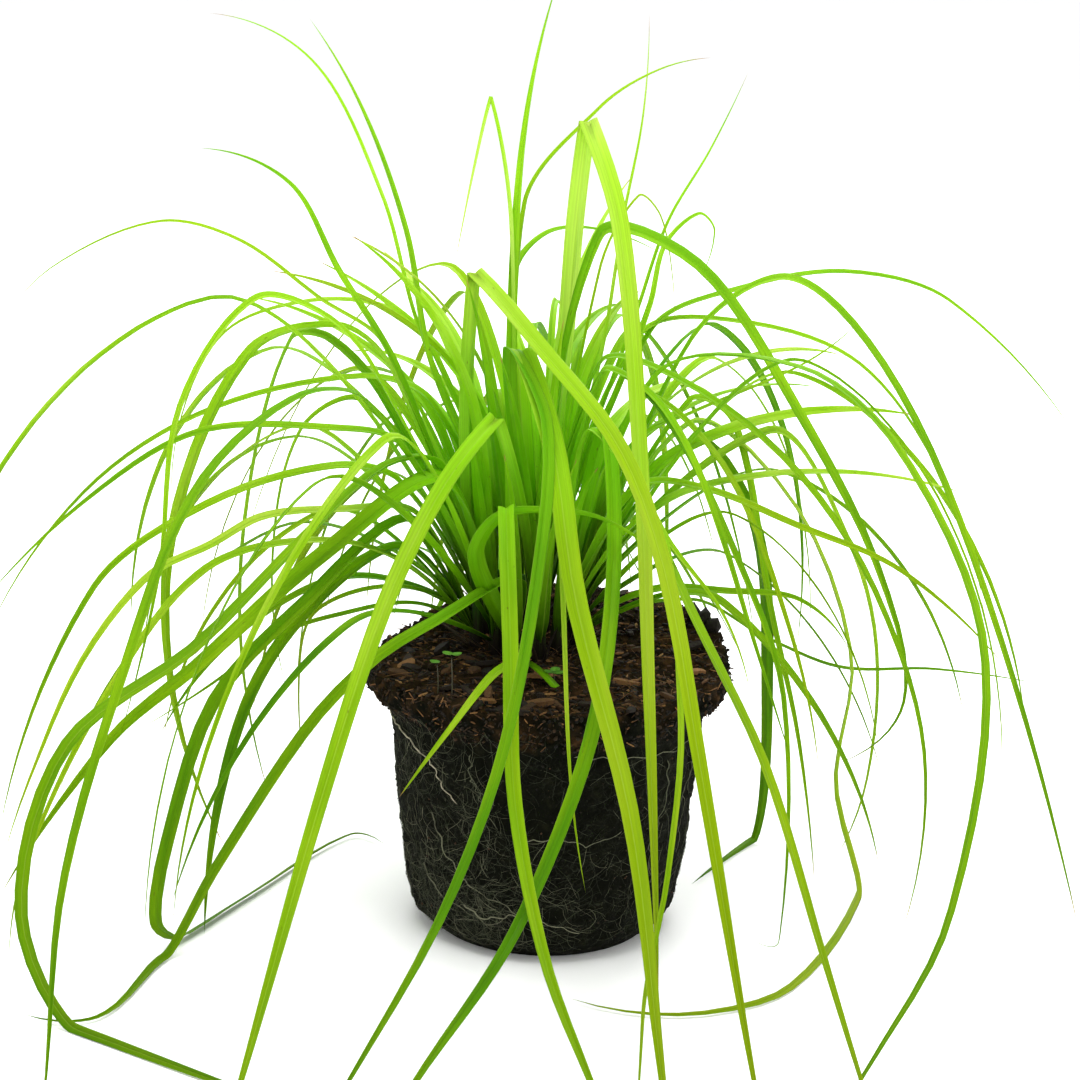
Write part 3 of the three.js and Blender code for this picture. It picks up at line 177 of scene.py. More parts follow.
LEADING_BLADES = (
  (14, 6, 10, 0, (-16, 8, 228), (-13, 6, 287), (-3, 5, 335)),
  (6, 7.2, 35, 1, (-29, -5, 236), (-6, -26, 215), (21, -56, 188), (36, -85, 155), (47, -126, 106),
    (64, -181, 25), (71, -201, 0)),
  (15, 9, 10, 0, (-13, -15, 211), (-1, -36, 185), (8, -69, 140), (27, -117, 82), (37, -179, 22),
    (42, -206, 0)),
  (8, 6, 10, 0, (-16, -32, 161), (-13, -69, 125), (-10, -99, 81), (1, -138, 43), (16, -174, 19),
    (30, -208, 0)),
  (15, 7, -45, 1, (-20, -25, 190), (-38, -42, 168), (-55, -68, 134), (-71, -113, 85),
    (-89, -184, 20), (-95, -210, 0)),
  (0, 5, 55, 0, (35, -4, 203), (82, -24, 210), (114, -46, 187), (140, -82, 131), (127, -131, 59),
    (97, -170, 21), (77, -195, 0)),
  (15, 8, 10, 3, (3, 6, 215), (5, 2, 254), (8, -4, 288), (20, -12, 253), (29, -34, 175),
    (33, -74, 108), (37, -92, 43), (39, -101, 3)),
  (10, 6.4, 10, 0, (18, -6, 182), (25, -36, 144), (23, -84, 97), (5, -124, 47), (-16, -186, 25),
    (-32, -224, 6)),
  (10, 6, 10, 0, (28, -10, 162), (39, -23, 146), (50, -49, 131), (75, -95, 95), (93, -142, 54),
    (106, -172, 23), (117, -197, 0)),
  (0, 5, 75, 0, (29, 10, 190), (58, 0, 168), (80, -25, 114), (86, -55, 74)),
  (6, 6.2, -80, 0, (-50, 0, 147), (-87, -13, 118), (-116, -25, 86), (-131, -38, 38),
    (-134, -46, 12), (-127, -36, 2), (-107, 5, 1), (-75, 67, 1), (-61, 58, 1)),
  (6, 6.2, -90, 0, (-53, 0, 137), (-91, -9, 108), (-111, -17, 66), (-119, -32, 1)),
  (8, 5.5, -40, 0, (-11, -6, 128), (-41, -30, 118), (-60, -38, 107), (-81, -44, 85),
    (-113, -48, 33), (-130, -51, 1), (-145, -100, 1), (-170, -100, 1)),
  (5, 5.6, 90, 0, (-58, 8, 200), (-76, 12, 213), (-108, 18, 202), (-137, 29, 136), (-140, 40, 68),
    (-121, 50, 0)),
  (5, 4.2, -75, 0, (-61, 30, 183), (-82, 40, 203), (-96, 44, 202), (-113, 62, 144),
    (-119, 81, 75), (-110, 100, 4)),
  (5, 5, -75, 0, (-54, -4, 175), (-78, -8, 181), (-122, -15, 180), (-158, -22, 158),
    (-194, -30, 122)),
  (13, 4.6, -75, 0, (-44, 16, 186), (-70, 22, 193), (-128, 35, 175), (-174, 47, 140),
    (-212, 60, 83)),
  (6, 5, -75, 0, (-53, 0, 132), (-84, -10, 142), (-121, -22, 134), (-153, -40, 94),
    (-178, -59, 42), (-183, -70, 10)),
  (15, 7.4, 105, 0, (13, 0, 249), (48, 1, 239), (85, 2, 188), (116, 4, 132), (128, 5, 83),
    (105, 6, 58)),
  (12, 5, 75, 0, (15, 14, 202), (47, 8, 196), (86, -1, 167), (115, -10, 125), (133, -21, 70),
    (127, -32, 8)),
  (11, 4, 70, 0, (47, 20, 210), (80, 14, 234), (116, 7, 202), (153, -2, 127), (194, -14, 3)),
  (12, 3.8, 60, 0, (33, 30, 211), (66, 33, 227), (103, 36, 233), (140, 39, 223), (191, 45, 172)),
  (8, 5, 10, 0, (-8, -24, 106), (-19, -48, 106), (-32, -68, 94), (-49, -66, 68)),
  (8, 8, 10, 0, (-26, -20, 138), (-18, -25, 153), (2, -31, 157), (19, -36, 155), (43, -45, 142)),
  (15, 5, 75, 0, (15, -6, 203), (36, -11, 191), (64, -24, 142), (81, -36, 96), (82, -54, 15),
    (72, -56, 16)),
  (0, 5, 60, 0, (76, 20, 178), (108, 32, 135), (122, 42, 90), (123, 54, 35), (114, 61, 0)),
  (14, 4.5, 60, 2, (-17, 6, 249), (-25, 6, 294), (-30, 6, 271), (-36, 6, 237)),
  (12, 2.6, 40, 0, (17, 20, 212), (24, 28, 257), (31, 34, 295), (33, 40, 331)),
  (12, 3, 40, 0, (29, 25, 223), (38, 33, 250), (52, 41, 274), (65, 50, 301)),
  (13, 5, 20, 0, (-16, 25, 230), (-5, 35, 244), (14, 46, 244), (38, 60, 233)),
  (4, 2.8, -60, 0, (-62, 40, 201), (-86, 47, 216), (-116, 56, 235), (-146, 63, 240),
    (-185, 73, 222), (-206, 80, 200)),
  (13, 3.6, -60, 0, (-46, 35, 202), (-64, 43, 214), (-94, 53, 213), (-126, 65, 198),
    (-145, 77, 162), (-151, 90, 120)),
  (13, 3.5, -60, 0, (-50, 15, 211), (-62, 28, 251), (-86, 43, 293), (-122, 55, 307)),
  (4, 4, -75, 0, (-69, 40, 180), (-93, 48, 167), (-105, 64, 112), (-101, 80, 55)),
  (10, 5, 70, 0, (30, -8, 163), (51, -10, 164), (85, -13, 152), (121, -17, 138), (159, -21, 105)),
  (0, 5, 70, 0, (48, 34, 185), (64, 29, 179), (79, 9, 115), (90, -5, 71), (97, -21, 21)),
  (0, 5.5, 75, 0, (48, 28, 179), (86, 28, 151), (110, 28, 94), (107, 28, 44), (118, 26, 1),
    (89, -60, 1), (54, -84, 1), (15, -76, 1)),
  (11, 5, 60, 0, (35, -5, 125), (63, 0, 124), (89, 5, 120), (108, 10, 100)),
  (1, 6.5, -75, 0, (50, 45, 168), (75, 53, 136), (84, 65, 70), (83, 74, 1), (56, 26, 1)),
  (12, 5, 60, 0, (32, 15, 217), (37, 18, 237), (49, 21, 247), (55, 22, 241), (50, 25, 223)),
  (10, 5.5, 20, 0, (10, -8, 186), (25, -20, 172), (36, -32, 152), (54, -46, 128), (62, -58, 103)),
  (11, 3.4, 40, 0, (30, 12, 175), (48, 18, 184), (89, 30, 201), (109, 38, 216)),
  (5, 3.4, -60, 0, (-48, 12, 118), (-68, 12, 117), (-85, 14, 107), (-90, 16, 89), (-89, 18, 50)),
  (6, 3, -75, 0, (-47, 4, 115), (-76, 0, 111), (-99, -4, 103), (-116, -8, 89), (-144, -14, 71)),
  (12, 2.4, 40, 0, (14, 24, 233), (27, 28, 259), (35, 28, 252), (40, 26, 230), (41, 24, 211)),
  (7, 9.5, -90, 0, (-38, -11, 165), (-77, -22, 141), (-120, -36, 103), (-149, -44, 78),
    (-185, -60, 26)),
  (7, 7, -90, 0, (-40, -6, 169), (-59, -13, 170), (-86, -28, 148), (-121, -48, 115),
    (-162, -69, 87), (-175, -91, 38), (-157, -103, 1), (-106, -141, 1), (-72, -166, 1)),
  (7, 4.6, -90, 0, (-61, -12, 199), (-79, -16, 222), (-104, -19, 229), (-129, -24, 193),
    (-136, -32, 138), (-150, -40, 80)),
  (5, 5, -90, 0, (-54, 6, 159), (-78, 2, 165), (-123, -2, 150), (-161, -8, 120), (-194, -15, 32)),
  (7, 5.5, -60, 0, (-64, -18, 193), (-87, -28, 196), (-118, -51, 169), (-139, -89, 111),
    (-151, -127, 58), (-150, -166, 11), (-150, -180, 0)),
  (15, 6, 10, 0, (-16, -16, 211), (-3, -35, 191), (-5, -68, 146), (-15, -102, 95),
    (-32, -139, 56), (-58, -178, 18), (-72, -200, 0)),
  (12, 3.8, 60, 0, (29, 30, 209), (65, 36, 214), (110, 44, 198), (145, 53, 152), (164, 61, 101)),
  (13, 4.5, -60, 0, (-13, 16, 256), (12, 19, 290), (31, 20, 303), (50, 20, 308)),
  (9, 2.4, 10, 0, (0, -18, 182), (4, -57, 136), (8, -83, 82), (14, -94, 47)),
  (10, 3, 10, 0, (30, -26, 156), (32, -76, 101), (24, -103, 56), (15, -119, 24), (9, -144, 14),
    (1, -181, 0)),
  (13, 5, 60, 0, (-44, 8, 202), (-53, 5, 248), (-68, 2, 289), (-86, 0, 319)),
  (5, 5.5, -75, 0, (-55, 8, 198), (-77, 16, 232), (-95, 23, 261), (-127, 30, 271)),
  (6, 5.5, -70, 0, (-48, 2, 149), (-76, -3, 152), (-102, -9, 151), (-120, -13, 142),
    (-141, -21, 133), (-163, -30, 106), (-180, -41, 69), (-189, -48, 43)),
  (15, 6, 60, 0, (15, -8, 203), (32, -11, 197), (47, -21, 177), (59, -31, 148), (68, -39, 122),
    (83, -52, 80)),
  (11, 3, 60, 0, (51, 22, 114), (79, 27, 99), (108, 31, 87), (143, 35, 86), (185, 38, 80)),
)

# ---- Soil surface and feet of the shoots ----


def smooth(t):
    u = np.clip(t, 0, 1)
    return u * u * (3 - 2 * u)


def bearings(count):
    """Evenly spaced angles round a full turn, in radians."""
    return np.arange(count) * 2 * math.pi / count


def mix(a, b, share):
    return a * (1 - share) + b * share


def stacked(*values):
    """Values of shapes that fit each other, side by side along a new last axis."""
    return np.stack(np.broadcast_arrays(*values), axis=-1)


def soil_height(x, y):
    from_crown = (x - CROWN[0]) ** 2 + (y - CROWN[1]) ** 2
    mound = CROWN_MOUND * np.exp(-from_crown / MOUND_SPREAD ** 2)
    slope = smooth((BACK_LEAN * x + y - BACK_START) / BACK_RUN)
    return BALL_HEIGHT + mound + BACK_RISE * slope


def shoot_angle(shoot):
    if shoot < OUTER_SHOOTS:
        return 2 * math.pi * (shoot + 0.5) / OUTER_SHOOTS
    return 2 * math.pi * (shoot - OUTER_SHOOTS + 0.25) / INNER_SHOOTS


def shoot_foot(shoot):
    outer = OUTER_RADIUS + FOOT_SCATTER * math.sin(2.4 * shoot)
    radius = outer if shoot < OUTER_SHOOTS else INNER_RADIUS
    angle = shoot_angle(shoot)
    x = CROWN[0] + radius * math.cos(angle)
    y = CROWN[1] + radius * math.sin(angle)
    return np.array((x, y, soil_height(x, y)))


class Draw:
    """A small seeded generator, the same as the one that the solids' blades were drawn with."""

    def __init__(self, seed):
        self.state = (seed * 7919) % 2147483647 + 1
        for _ in range(4):
            self.next()

    def next(self):
        self.state = (self.state * 48271) % 2147483647
        return self.state / 2147483647

    def span(self, low, high):
        return low + (high - low) * self.next()


# ---- The blades that fill the tuft: old ones low and arching, young ones upright ----


def leading_blades():
    blades = []
    for row, (shoot, width, twist, crease, *points) in enumerate(LEADING_BLADES):
        full_for_longer = points[-1][1] < FRONT_TIP or points[-1][2] < LYING_BELOW
        blades.append({
            "row": row,
            "shoot": shoot,
            "width": width,
            "taper": BROAD if full_for_longer else SLENDER,
            "twist": twist,
            "crease": crease,
            "points": np.array(points, float),
            "rise": FIRST_RISE + RISE_SPAN * smooth((points[0][2] - LOW_START) / START_RANGE),
            "steps": BLADE_STEPS + max(0, STEPS_PER_POINT * (len(points) - SHORT_BLADE)),
        })
    return blades


def filler_points(foot, u, heading, kind, draws):
    """The middle and the tip of a blade that is u of the way from the oldest to the youngest."""
    *pairs, (middle_out, middle_up) = kind
    reach, rise, beyond, tip_rise = (mix(*pair, u) for pair in pairs)
    stretch, height, drop, bend = draws
    points = []
    for out, way, up in (
        (middle_out * reach, heading, middle_up * rise * height),
        (reach + beyond, heading + bend, rise * height + tip_rise * drop),
    ):
        x = foot[0] + stretch * out * math.cos(way)
        y = foot[1] + stretch * out * math.sin(way)
        points.append((x, y, max(DEEPEST_TIP, foot[2] + up)))
    return np.array(points)


def filler_blades():
    blades = []
    for shoot in range(SHOOTS):
        draw = Draw(shoot + 3)
        foot = shoot_foot(shoot)
        outer = shoot < OUTER_SHOOTS
        for rank in range(FILLERS_PER_SHOOT):
            share = (rank + 0.5) / FILLERS_PER_SHOOT
            youth = share if outer else 0.5 + 0.5 * share
            heading = shoot_angle(shoot) + draw.span(-1, 1) * FANS[0 if outer else 1]
            stretch, height, drop, full_width = (
                draw.span(*limits) for limits in (REACHES, HEIGHTS, FALLS, WIDTHS))
            bend = draw.span(-TIP_TURN, TIP_TURN)
            twist = draw.span(-MOST_TWIST, MOST_TWIST)
            is_open = math.cos(heading + bend + math.pi / 2) > FRONT_WINDOW
            arching = not is_open and youth < OLD_SHARE
            right = math.cos(heading)
            every = RIGHT_EVERY if right > RIGHT_SIDE else (LEFT_EVERY if right < -RIGHT_SIDE else 1)
            if arching and rank % every:
                continue
            if is_open:
                kind, u = SHORT, youth
            elif arching:
                kind, u = ARCHING, youth / OLD_SHARE
            else:
                kind, u = UPRIGHT, (youth - OLD_SHARE) / (1 - OLD_SHARE)
            blades.append({
                "shoot": shoot,
                "rank": rank,
                "width": ARCHING_WIDTH * full_width if arching else full_width,
                "taper": SLENDER,
                "twist": twist,
                "crease": 0,
                "points": filler_points(foot, u, heading, kind, (stretch, height, drop, bend)),
                "rise": FIRST_RISE + RISE_SPAN * youth,
                "steps": BLADE_STEPS,
            })
    return blades


# ---- Paths and stations, worked out for several ways of laying a blade at once ----


def lengths_of(vectors):
    return np.sqrt((vectors ** 2).sum(-1))


def unit(vectors):
    return vectors / lengths_of(vectors)[..., None]


def paths_through(points, start):
    """Smooth dense paths through points (ways, count, 3), each leaving the first along start."""
    gaps = lengths_of(points[:, 1:] - points[:, :-1])
    pulls = np.empty_like(points)
    pulls[:, 0] = unit(start)
    pulls[:, 1:-1] = (points[:, 2:] - points[:, :-2]) / (gaps[:, :-1] + gaps[:, 1:])[..., None]
    end = unit(points[:, -1] - points[:, -2])
    pulls[:, -1] = 2 * end - unit(pulls[:, -2])
    u = (np.arange(SPAN_STEPS) / SPAN_STEPS)[:, None]
    gap = gaps[:, :, None, None]
    spans = (
        points[:, :-1, None] * (2 * u ** 3 - 3 * u * u + 1)
        + pulls[:, :-1, None] * (u ** 3 - 2 * u * u + u) * gap
        + points[:, 1:, None] * (-2 * u ** 3 + 3 * u * u)
        + pulls[:, 1:, None] * (u ** 3 - u * u) * gap
    )
    path = np.concatenate((spans.reshape(len(points), -1, 3), points[:, -1:]), axis=1)
    path[..., 2] = np.maximum(path[..., 2], LYING_HEIGHT)
    return path


def path_lengths(path):
    return lengths_of(path[:, 1:] - path[:, :-1]).sum(axis=1)


def squared_off(vectors, way):
    """The vectors without what they have along way, at length 1."""
    return unit(vectors - way * (way * vectors).sum(-1, keepdims=True))


def heading_of(path):
    """The level way that each path heads, mostly by how it starts."""
    heading = path[:, path.shape[1] // 3] - path[:, 0] + TIP_SHARE * (path[:, -1] - path[:, 0])
    return heading * (1, 1, 0)


def stations_along(path, heading, count, twist, first_run, last_run):
    """Places along each path, closer together where it turns, with the width axis carried along
    without spinning and then twisted evenly to the tip."""
    last = path.shape[1] - 1
    steps = path[:, 1:] - path[:, :-1]
    lengths = lengths_of(steps)
    headings = steps / lengths[..., None]
    total = lengths.sum(axis=1, keepdims=True)
    cosines = np.clip((headings[:, 1:] * headings[:, :-1]).sum(-1), -1, 1)
    zero = np.zeros((len(path), 1))
    turns = np.concatenate((zero, np.arccos(cosines), zero), axis=1)
    bend = turns.sum(axis=1, keepdims=True)
    bend[bend == 0] = 1
    half_turns = 0.5 * (turns[:, :-1] + turns[:, 1:])
    marks = np.concatenate(
        (zero, np.cumsum(lengths / total + BEND_WEIGHT * half_turns / bend, axis=1)), axis=1)
    arcs = np.concatenate((zero, np.cumsum(lengths / total, axis=1)), axis=1)
    side = unit(np.cross(heading, (0, 0, 1)))
    along = np.empty_like(path)
    across = np.empty_like(path)
    along[:, 0] = headings[:, 0]
    along[:, last] = headings[:, last - 1]
    along[:, 1:last] = unit(headings[:, :-1] + headings[:, 1:])
    for place in range(last + 1):
        side = squared_off(side, along[:, place])
        across[:, place] = side
    wanted = marks[:, last:] * np.arange(count + 1) / count
    index = (marks[:, None, 1:] < wanted[:, :, None]).sum(axis=2)
    index = np.minimum(index, last - 1)
    ways = np.arange(len(path))[:, None]
    low = marks[ways, index]
    gap = marks[ways, index + 1] - low
    gap[gap == 0] = 1
    share = np.clip((wanted - low) / gap, 0, 1)[..., None]

    def between(values):
        """The values at the wanted places, each mixed from the two beside it."""
        return mix(values[ways, index], values[ways, index + 1], share)

    way = unit(between(along))
    flat = squared_off(unit(between(across)), way)
    run = mix(first_run, last_run, between(arcs[..., None])[..., 0])
    roll = np.radians(twist * run)[..., None]
    width_axis = unit(flat * np.cos(roll) + np.cross(way, flat) * np.sin(roll))
    return {"spot": between(path), "along": way, "across": width_axis, "run": run}


def half_width(blade, run):
    base = BASE_WIDTH + (1 - BASE_WIDTH) * smooth(run / FULL_FROM)
    left = np.maximum(0, 1 - run ** blade["taper"])
    return 0.5 * blade["width"] * base * left ** POINTEDNESS


def stretches_of(blade, moves, steps):
    """The blade's stretches, one on each side of its crease, for each (turn, lift) in moves."""
    points = blade["points"]
    foot = shoot_foot(blade["shoot"])
    away = (points[0] - foot) * (1, 1, 0)
    root = foot + ROOT_SETOFF * away / (lengths_of(away) or 1) + (0, 0, blade["rise"])
    turn, lift = np.array(moves, float).T[..., None]
    turn = np.radians(turn)
    x, y, z = (points - root).T
    laid = root + stacked(
        x * np.cos(turn) - y * np.sin(turn),
        x * np.sin(turn) + y * np.cos(turn),
        np.where(points[:, 2] < LYING_BELOW, z, z * lift),
    )
    outer = blade["shoot"] < OUTER_SHOOTS
    aim = laid[:, 0] - root
    out = np.hypot(aim[:, 0], aim[:, 1])
    climb = np.maximum(aim[:, 2], LEAST_CLIMB)
    slope = np.minimum(MOST_LEAN, LEAN * out / climb + (OUTER_LEAN if outer else 0))
    pull = OUTER_PULL if outer else 0
    angle = shoot_angle(blade["shoot"])
    start = stacked(
        slope * mix(aim[:, 0] / out, math.cos(angle), pull),
        slope * mix(aim[:, 1] / out, math.sin(angle), pull),
        1,
    )
    laid = np.concatenate((np.broadcast_to(root, (len(moves), 1, 3)), laid), axis=1)
    crease = blade["crease"]
    if not crease:
        path = paths_through(laid, start)
        return [stations_along(path, heading_of(path), steps[0], blade["twist"], 0, 1)]
    fall = (laid[:, crease + 1] - laid[:, crease]) * (CREASE_THROW, CREASE_THROW, 1)
    rising = paths_through(laid[:, :crease + 1], start)
    falling = paths_through(laid[:, crease:], fall)
    share = (path_lengths(rising) / (path_lengths(rising) + path_lengths(falling)))[:, None]
    heading = heading_of(falling)
    below = stations_along(rising, heading, steps[0], blade["twist"], 0, share)
    beyond = stations_along(falling, heading, steps[1], blade["twist"], share, 1)
    return [below, beyond]


# ---- Where each blade lies in the solids ----
# In the solids a blade is turned and lifted a little where it would cross another shoot's blades,
# and some fillers are left out.

TURNS = (0, 3, -3, 6, -6, 9, -9, 12, -12, 16, -16)
LIFTS = (1, 1.05, 0.95, 1.1, 0.9)
MOVES = [(turn, lift) for lift in LIFTS for turn in TURNS]
CORNER_NEAR = 0.05
MATCHED_SHARE = 0.5


def corner_finder(shoot):
    """Finds the corner of a shoot's solid that is nearest to a place, both in millimetres."""
    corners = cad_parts[f"shoot_{shoot + 1:02d}"].data.vertices
    finder = kdtree.KDTree(len(corners))
    for index, corner in enumerate(corners):
        finder.insert(corner.co / MM, index)
    finder.balance()
    return finder


def edges_of(blade, moves):
    """Places on both edges of the blade's solid, for each (turn, lift) in moves."""
    edges = []
    steps = CREASED_STEPS if blade["crease"] else (blade["steps"],)
    for part in stretches_of(blade, moves, steps):
        aside = part["across"] * half_width(blade, part["run"])[..., None]
        edges += [part["spot"] - aside, part["spot"] + aside]
    edges = np.concatenate(edges, axis=1)
    edges[..., 2] = np.maximum(edges[..., 2], LYING_CLEAR)
    return edges


def settled_blades():
    """The blades that the solids have, each at the turn and lift that its solid's corners show."""
    finders = [corner_finder(shoot) for shoot in range(SHOOTS)]
    settled = []
    for blade in leading_blades() + filler_blades():
        find = finders[blade["shoot"]].find
        edges = edges_of(blade, MOVES)
        matches = [sum(find(place)[2] < CORNER_NEAR for place in way) for way in edges.tolist()]
        best = int(np.argmax(matches))
        if matches[best] > MATCHED_SHARE * edges.shape[1]:
            settled.append(blade | {"move": MOVES[best]})
    return settled


# ---- Meshes ----


class Shape:
    """Corners, faces, one number of material per face and four painted values per corner."""

    def __init__(self):
        self.corners = []
        self.paints = []
        self.faces = []
        self.slots = []
        self.count = 0

    def add(self, corners, faces, paint, slot=0):
        """Adds faces on the corners. The paint is one row for all corners or one for each."""
        corners = np.asarray(corners, float).reshape(-1, 3)
        self.corners.append(corners)
        paint = np.asarray(paint, float).reshape(-1, 4)
        self.paints.append(np.broadcast_to(paint, (len(corners), 4)))
        self.faces.extend([[self.count + corner for corner in face] for face in faces])
        self.slots.extend([slot] * len(faces))
        self.count += len(corners)


def ring_faces(rings, around):
    """Quads between rings of corners, each ring closed on itself."""
    ring = np.arange(rings - 1)[:, None] * around
    place = np.arange(around)[None, :]
    after = (place + 1) % around
    quads = np.stack((ring + place, ring + after, ring + around + after, ring + around + place), -1)
    return quads.reshape(-1, 4).tolist()


def tube_faces(rings, around, pointed=False):
    """A tube with a flat face at its start and one at its end, or a last corner as its point."""
    end = (rings - 1) * around
    if pointed:
        close = [[end + k, end + (k + 1) % around, rings * around] for k in range(around)]
    else:
        close = [list(range(end, end + around))]
    return ring_faces(rings, around) + [list(range(around))[::-1]] + close


def spindle_faces(rings, around):
    """A tube closed to a point at both ends: the last two corners, the start's first."""
    end = (rings - 1) * around
    start_point = rings * around
    faces = ring_faces(rings, around)
    for k in range(around):
        after = (k + 1) % around
        faces.append([after, k, start_point])
        faces.append([end + k, end + after, start_point + 1])
    return faces


def add_to_scene(name, data):
    added = bpy.data.objects.new(name, data)
    bpy.context.scene.collection.objects.link(added)
    return added


def make_piece(name, shape, materials, replaces=(), shade_smooth=True):
    """Makes the shape a piece on the part's one body, which may replace CAD nodes."""
    mesh = bpy.data.meshes.new(name)
    corners = np.concatenate(shape.corners) * MM
    mesh.from_pydata(corners.tolist(), [], shape.faces)
    for material in materials:
        mesh.materials.append(material)
    mesh.polygons.foreach_set("material_index", shape.slots)
    mesh.polygons.foreach_set("use_smooth", [shade_smooth] * len(mesh.polygons))
    paint = mesh.color_attributes.new("paint", "FLOAT_COLOR", "POINT")
    paint.data.foreach_set("color", np.concatenate(shape.paints).ravel())
    mesh.update()
    piece = add_to_scene(name, mesh)
    if replaces:
        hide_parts(*replaces)
    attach(piece, "root")


# ---- Blades ----

SECTION = np.array((-1, -0.8, -0.55, -0.3, -0.1, 0, 0.1, 0.3, 0.55, 0.8, 1))
BLADE_THICK = 0.34
EDGE_THICK = 0.14
FINE_STEPS = 44
FINE_CREASED = (20, 30)
FOLD_AT_BASE = 0.95
FOLD_LOST = 0.62
OPEN_FROM = 0.3
FOLD_REGAINED = 0.35
CLOSING_FROM = 0.75
CREASE_GAP = 0.1
PLEAT_HEIGHT = 0.1
KEEL_HEIGHT = 0.05
KEEL_SPREAD = 0.12
WAVE_HEIGHT = 0.05
WAVE_TURNS = 37


def blade_line(blade):
    """The blade's fine stations, with both stretches of a creased blade run together."""
    steps = FINE_CREASED if blade["crease"] else (FINE_STEPS,)
    stretches = stretches_of(blade, [blade["move"]], steps)
    line = {key: np.concatenate([part[key][0] for part in stretches]) for key in stretches[0]}
    if blade["crease"]:
        seam = steps[0]
        line["spot"][seam + 1] = line["spot"][seam] + (0, 0, CREASE_GAP)
        around = unit(line["along"][seam] + line["along"][seam + 1] + (0, 0, 1e-3))
        line["along"][seam] = unit(line["along"][seam] + around)
        line["along"][seam + 1] = unit(line["along"][seam + 1] + around)
    return line


def fold_at(run):
    """How far the halves of a blade stand up from its keel, as a share of their width."""
    opened = FOLD_LOST * smooth(run / OPEN_FROM)
    closed = FOLD_REGAINED * smooth((run - CLOSING_FROM) / (1 - CLOSING_FROM))
    return FOLD_AT_BASE - opened + closed


def add_blade(shape, blade, tone, shade, wave_seed):
    """A thin pleated blade, folded along its keel, with a thin rim and a slightly wavy edge."""
    line = blade_line(blade)
    spot, along, across, run = (line[key][:-1, None] for key in ("spot", "along", "across", "run"))
    up = np.cross(across, along)
    half = half_width(blade, run)
    fold = fold_at(run)
    side = np.abs(SECTION)
    lean = np.sqrt(1 / (1 + fold ** 2))
    out = half * SECTION * lean
    keel = KEEL_HEIGHT * np.exp(-((side / KEEL_SPREAD) ** 2))
    pleat = PLEAT_HEIGHT * np.sin(math.pi * side) + keel
    wave = WAVE_HEIGHT * np.sin(run * WAVE_TURNS + wave_seed) * side
    lift = half * (fold * lean * side + pleat + wave)
    lift = lift - lift.mean(axis=1, keepdims=True)
    thick = np.minimum(0.5 * half, mix(BLADE_THICK, EDGE_THICK, side ** 2))
    top = spot + across * out[..., None] + up * lift[..., None]
    bottom = top - up * thick[..., None]
    rings = np.concatenate((top, bottom[:, ::-1]), axis=1)
    corners = np.concatenate((rings.reshape(-1, 3), line["spot"][-1:]))
    corners[:, 2] = np.maximum(corners[:, 2], LYING_CLEAR)
    places = np.concatenate((SECTION, SECTION[::-1])) * 0.5 + 0.5
    paint = stacked(run, places, tone, shade).reshape(-1, 4)
    paint = np.concatenate((paint, ((1, 0.5, tone, shade),)))
    shape.add(corners, tube_faces(*rings.shape[:2], pointed=True), paint)


# ---- Shoots ----

SHEATH_AROUND = 14
SHEATH_LEVELS = np.array((-7.5, -3, 0, 3, 6, 9, 12, 15, 17.5, 19))


def add_sheath(shape, shoot, draw):
    """The stem base: leaf sheaths wrapped round each other, fluted, narrowing upwards."""
    foot = shoot_foot(shoot)
    angle = bearings(SHEATH_AROUND)
    share = np.clip(SHEATH_LEVELS / SHEATH_RISE, 0, 1)[:, None]
    radius = mix(0.93 * SHEATH_RADIUS, SHEATH_TOP_RADIUS, share ** 1.3)
    flutes = 1 + 0.07 * np.cos(3 * angle + draw.span(0, 6)) - 0.05 * np.abs(np.sin(2.5 * angle))
    rings = stacked(
        foot[0] + radius * flutes * np.cos(angle),
        foot[1] + radius * flutes * np.sin(angle),
        foot[2] + SHEATH_LEVELS[:, None],
    )
    paint = stacked(share * 0.1, angle / (2 * math.pi), draw.next(), 1)
    shape.add(rings, tube_faces(len(rings), SHEATH_AROUND), paint, slot=1)


# How yellow and how faded the most visible leading blades are, by their row in the table.
ROW_LOOKS = {
    0: (0.6, 0.3), 1: (0.76, 0.97), 2: (0.72, 0.9), 3: (0.7, 0.5), 4: (0.74, 0.66), 6: (0.88, 0.86),
    7: (0.42, 0.1), 8: (0.6, 0.9), 10: (0.49, 0.2), 11: (0.45, 0.1), 12: (0.52, 0.3), 18: (0.5, 0.4),
    22: (0.8, 0.6), 23: (0.5, 0.2), 38: (0.38, 0.3), 45: (0.6, 0.4), 46: (0.5, 0.6), 50: (0.42, 0.2),
}
FILLER_TONE = 0.48
FILLER_SPREAD = 0.38
LEADING_TONE = 0.64


def tone_of(blade, draw):
    """How yellow a blade is, from 0, deep green, to 1: young and upright ones are the palest."""
    if "rank" in blade:
        by_age = FILLER_SPREAD * blade["rank"] / FILLERS_PER_SHOOT
        return FILLER_TONE + by_age + draw.span(-0.15, 0.15)
    return LEADING_TONE + draw.span(-0.16, 0.24)


def make_shoots(blades, materials):
    for shoot in range(SHOOTS):
        draw = Draw(SEED + shoot)
        shape = Shape()
        add_sheath(shape, shoot, draw)
        for blade in (b for b in blades if b["shoot"] == shoot):
            tone = min(1, max(0, tone_of(blade, draw)))
            tone, fade = ROW_LOOKS.get(blade.get("row"), (tone, draw.next()))
            add_blade(shape, blade, tone, fade, draw.span(0, 6))
        name = f"shoot_{shoot + 1:02d}"
        make_piece(f"leafy_{name}", shape, materials, (name,))


# ---- Root ball ----

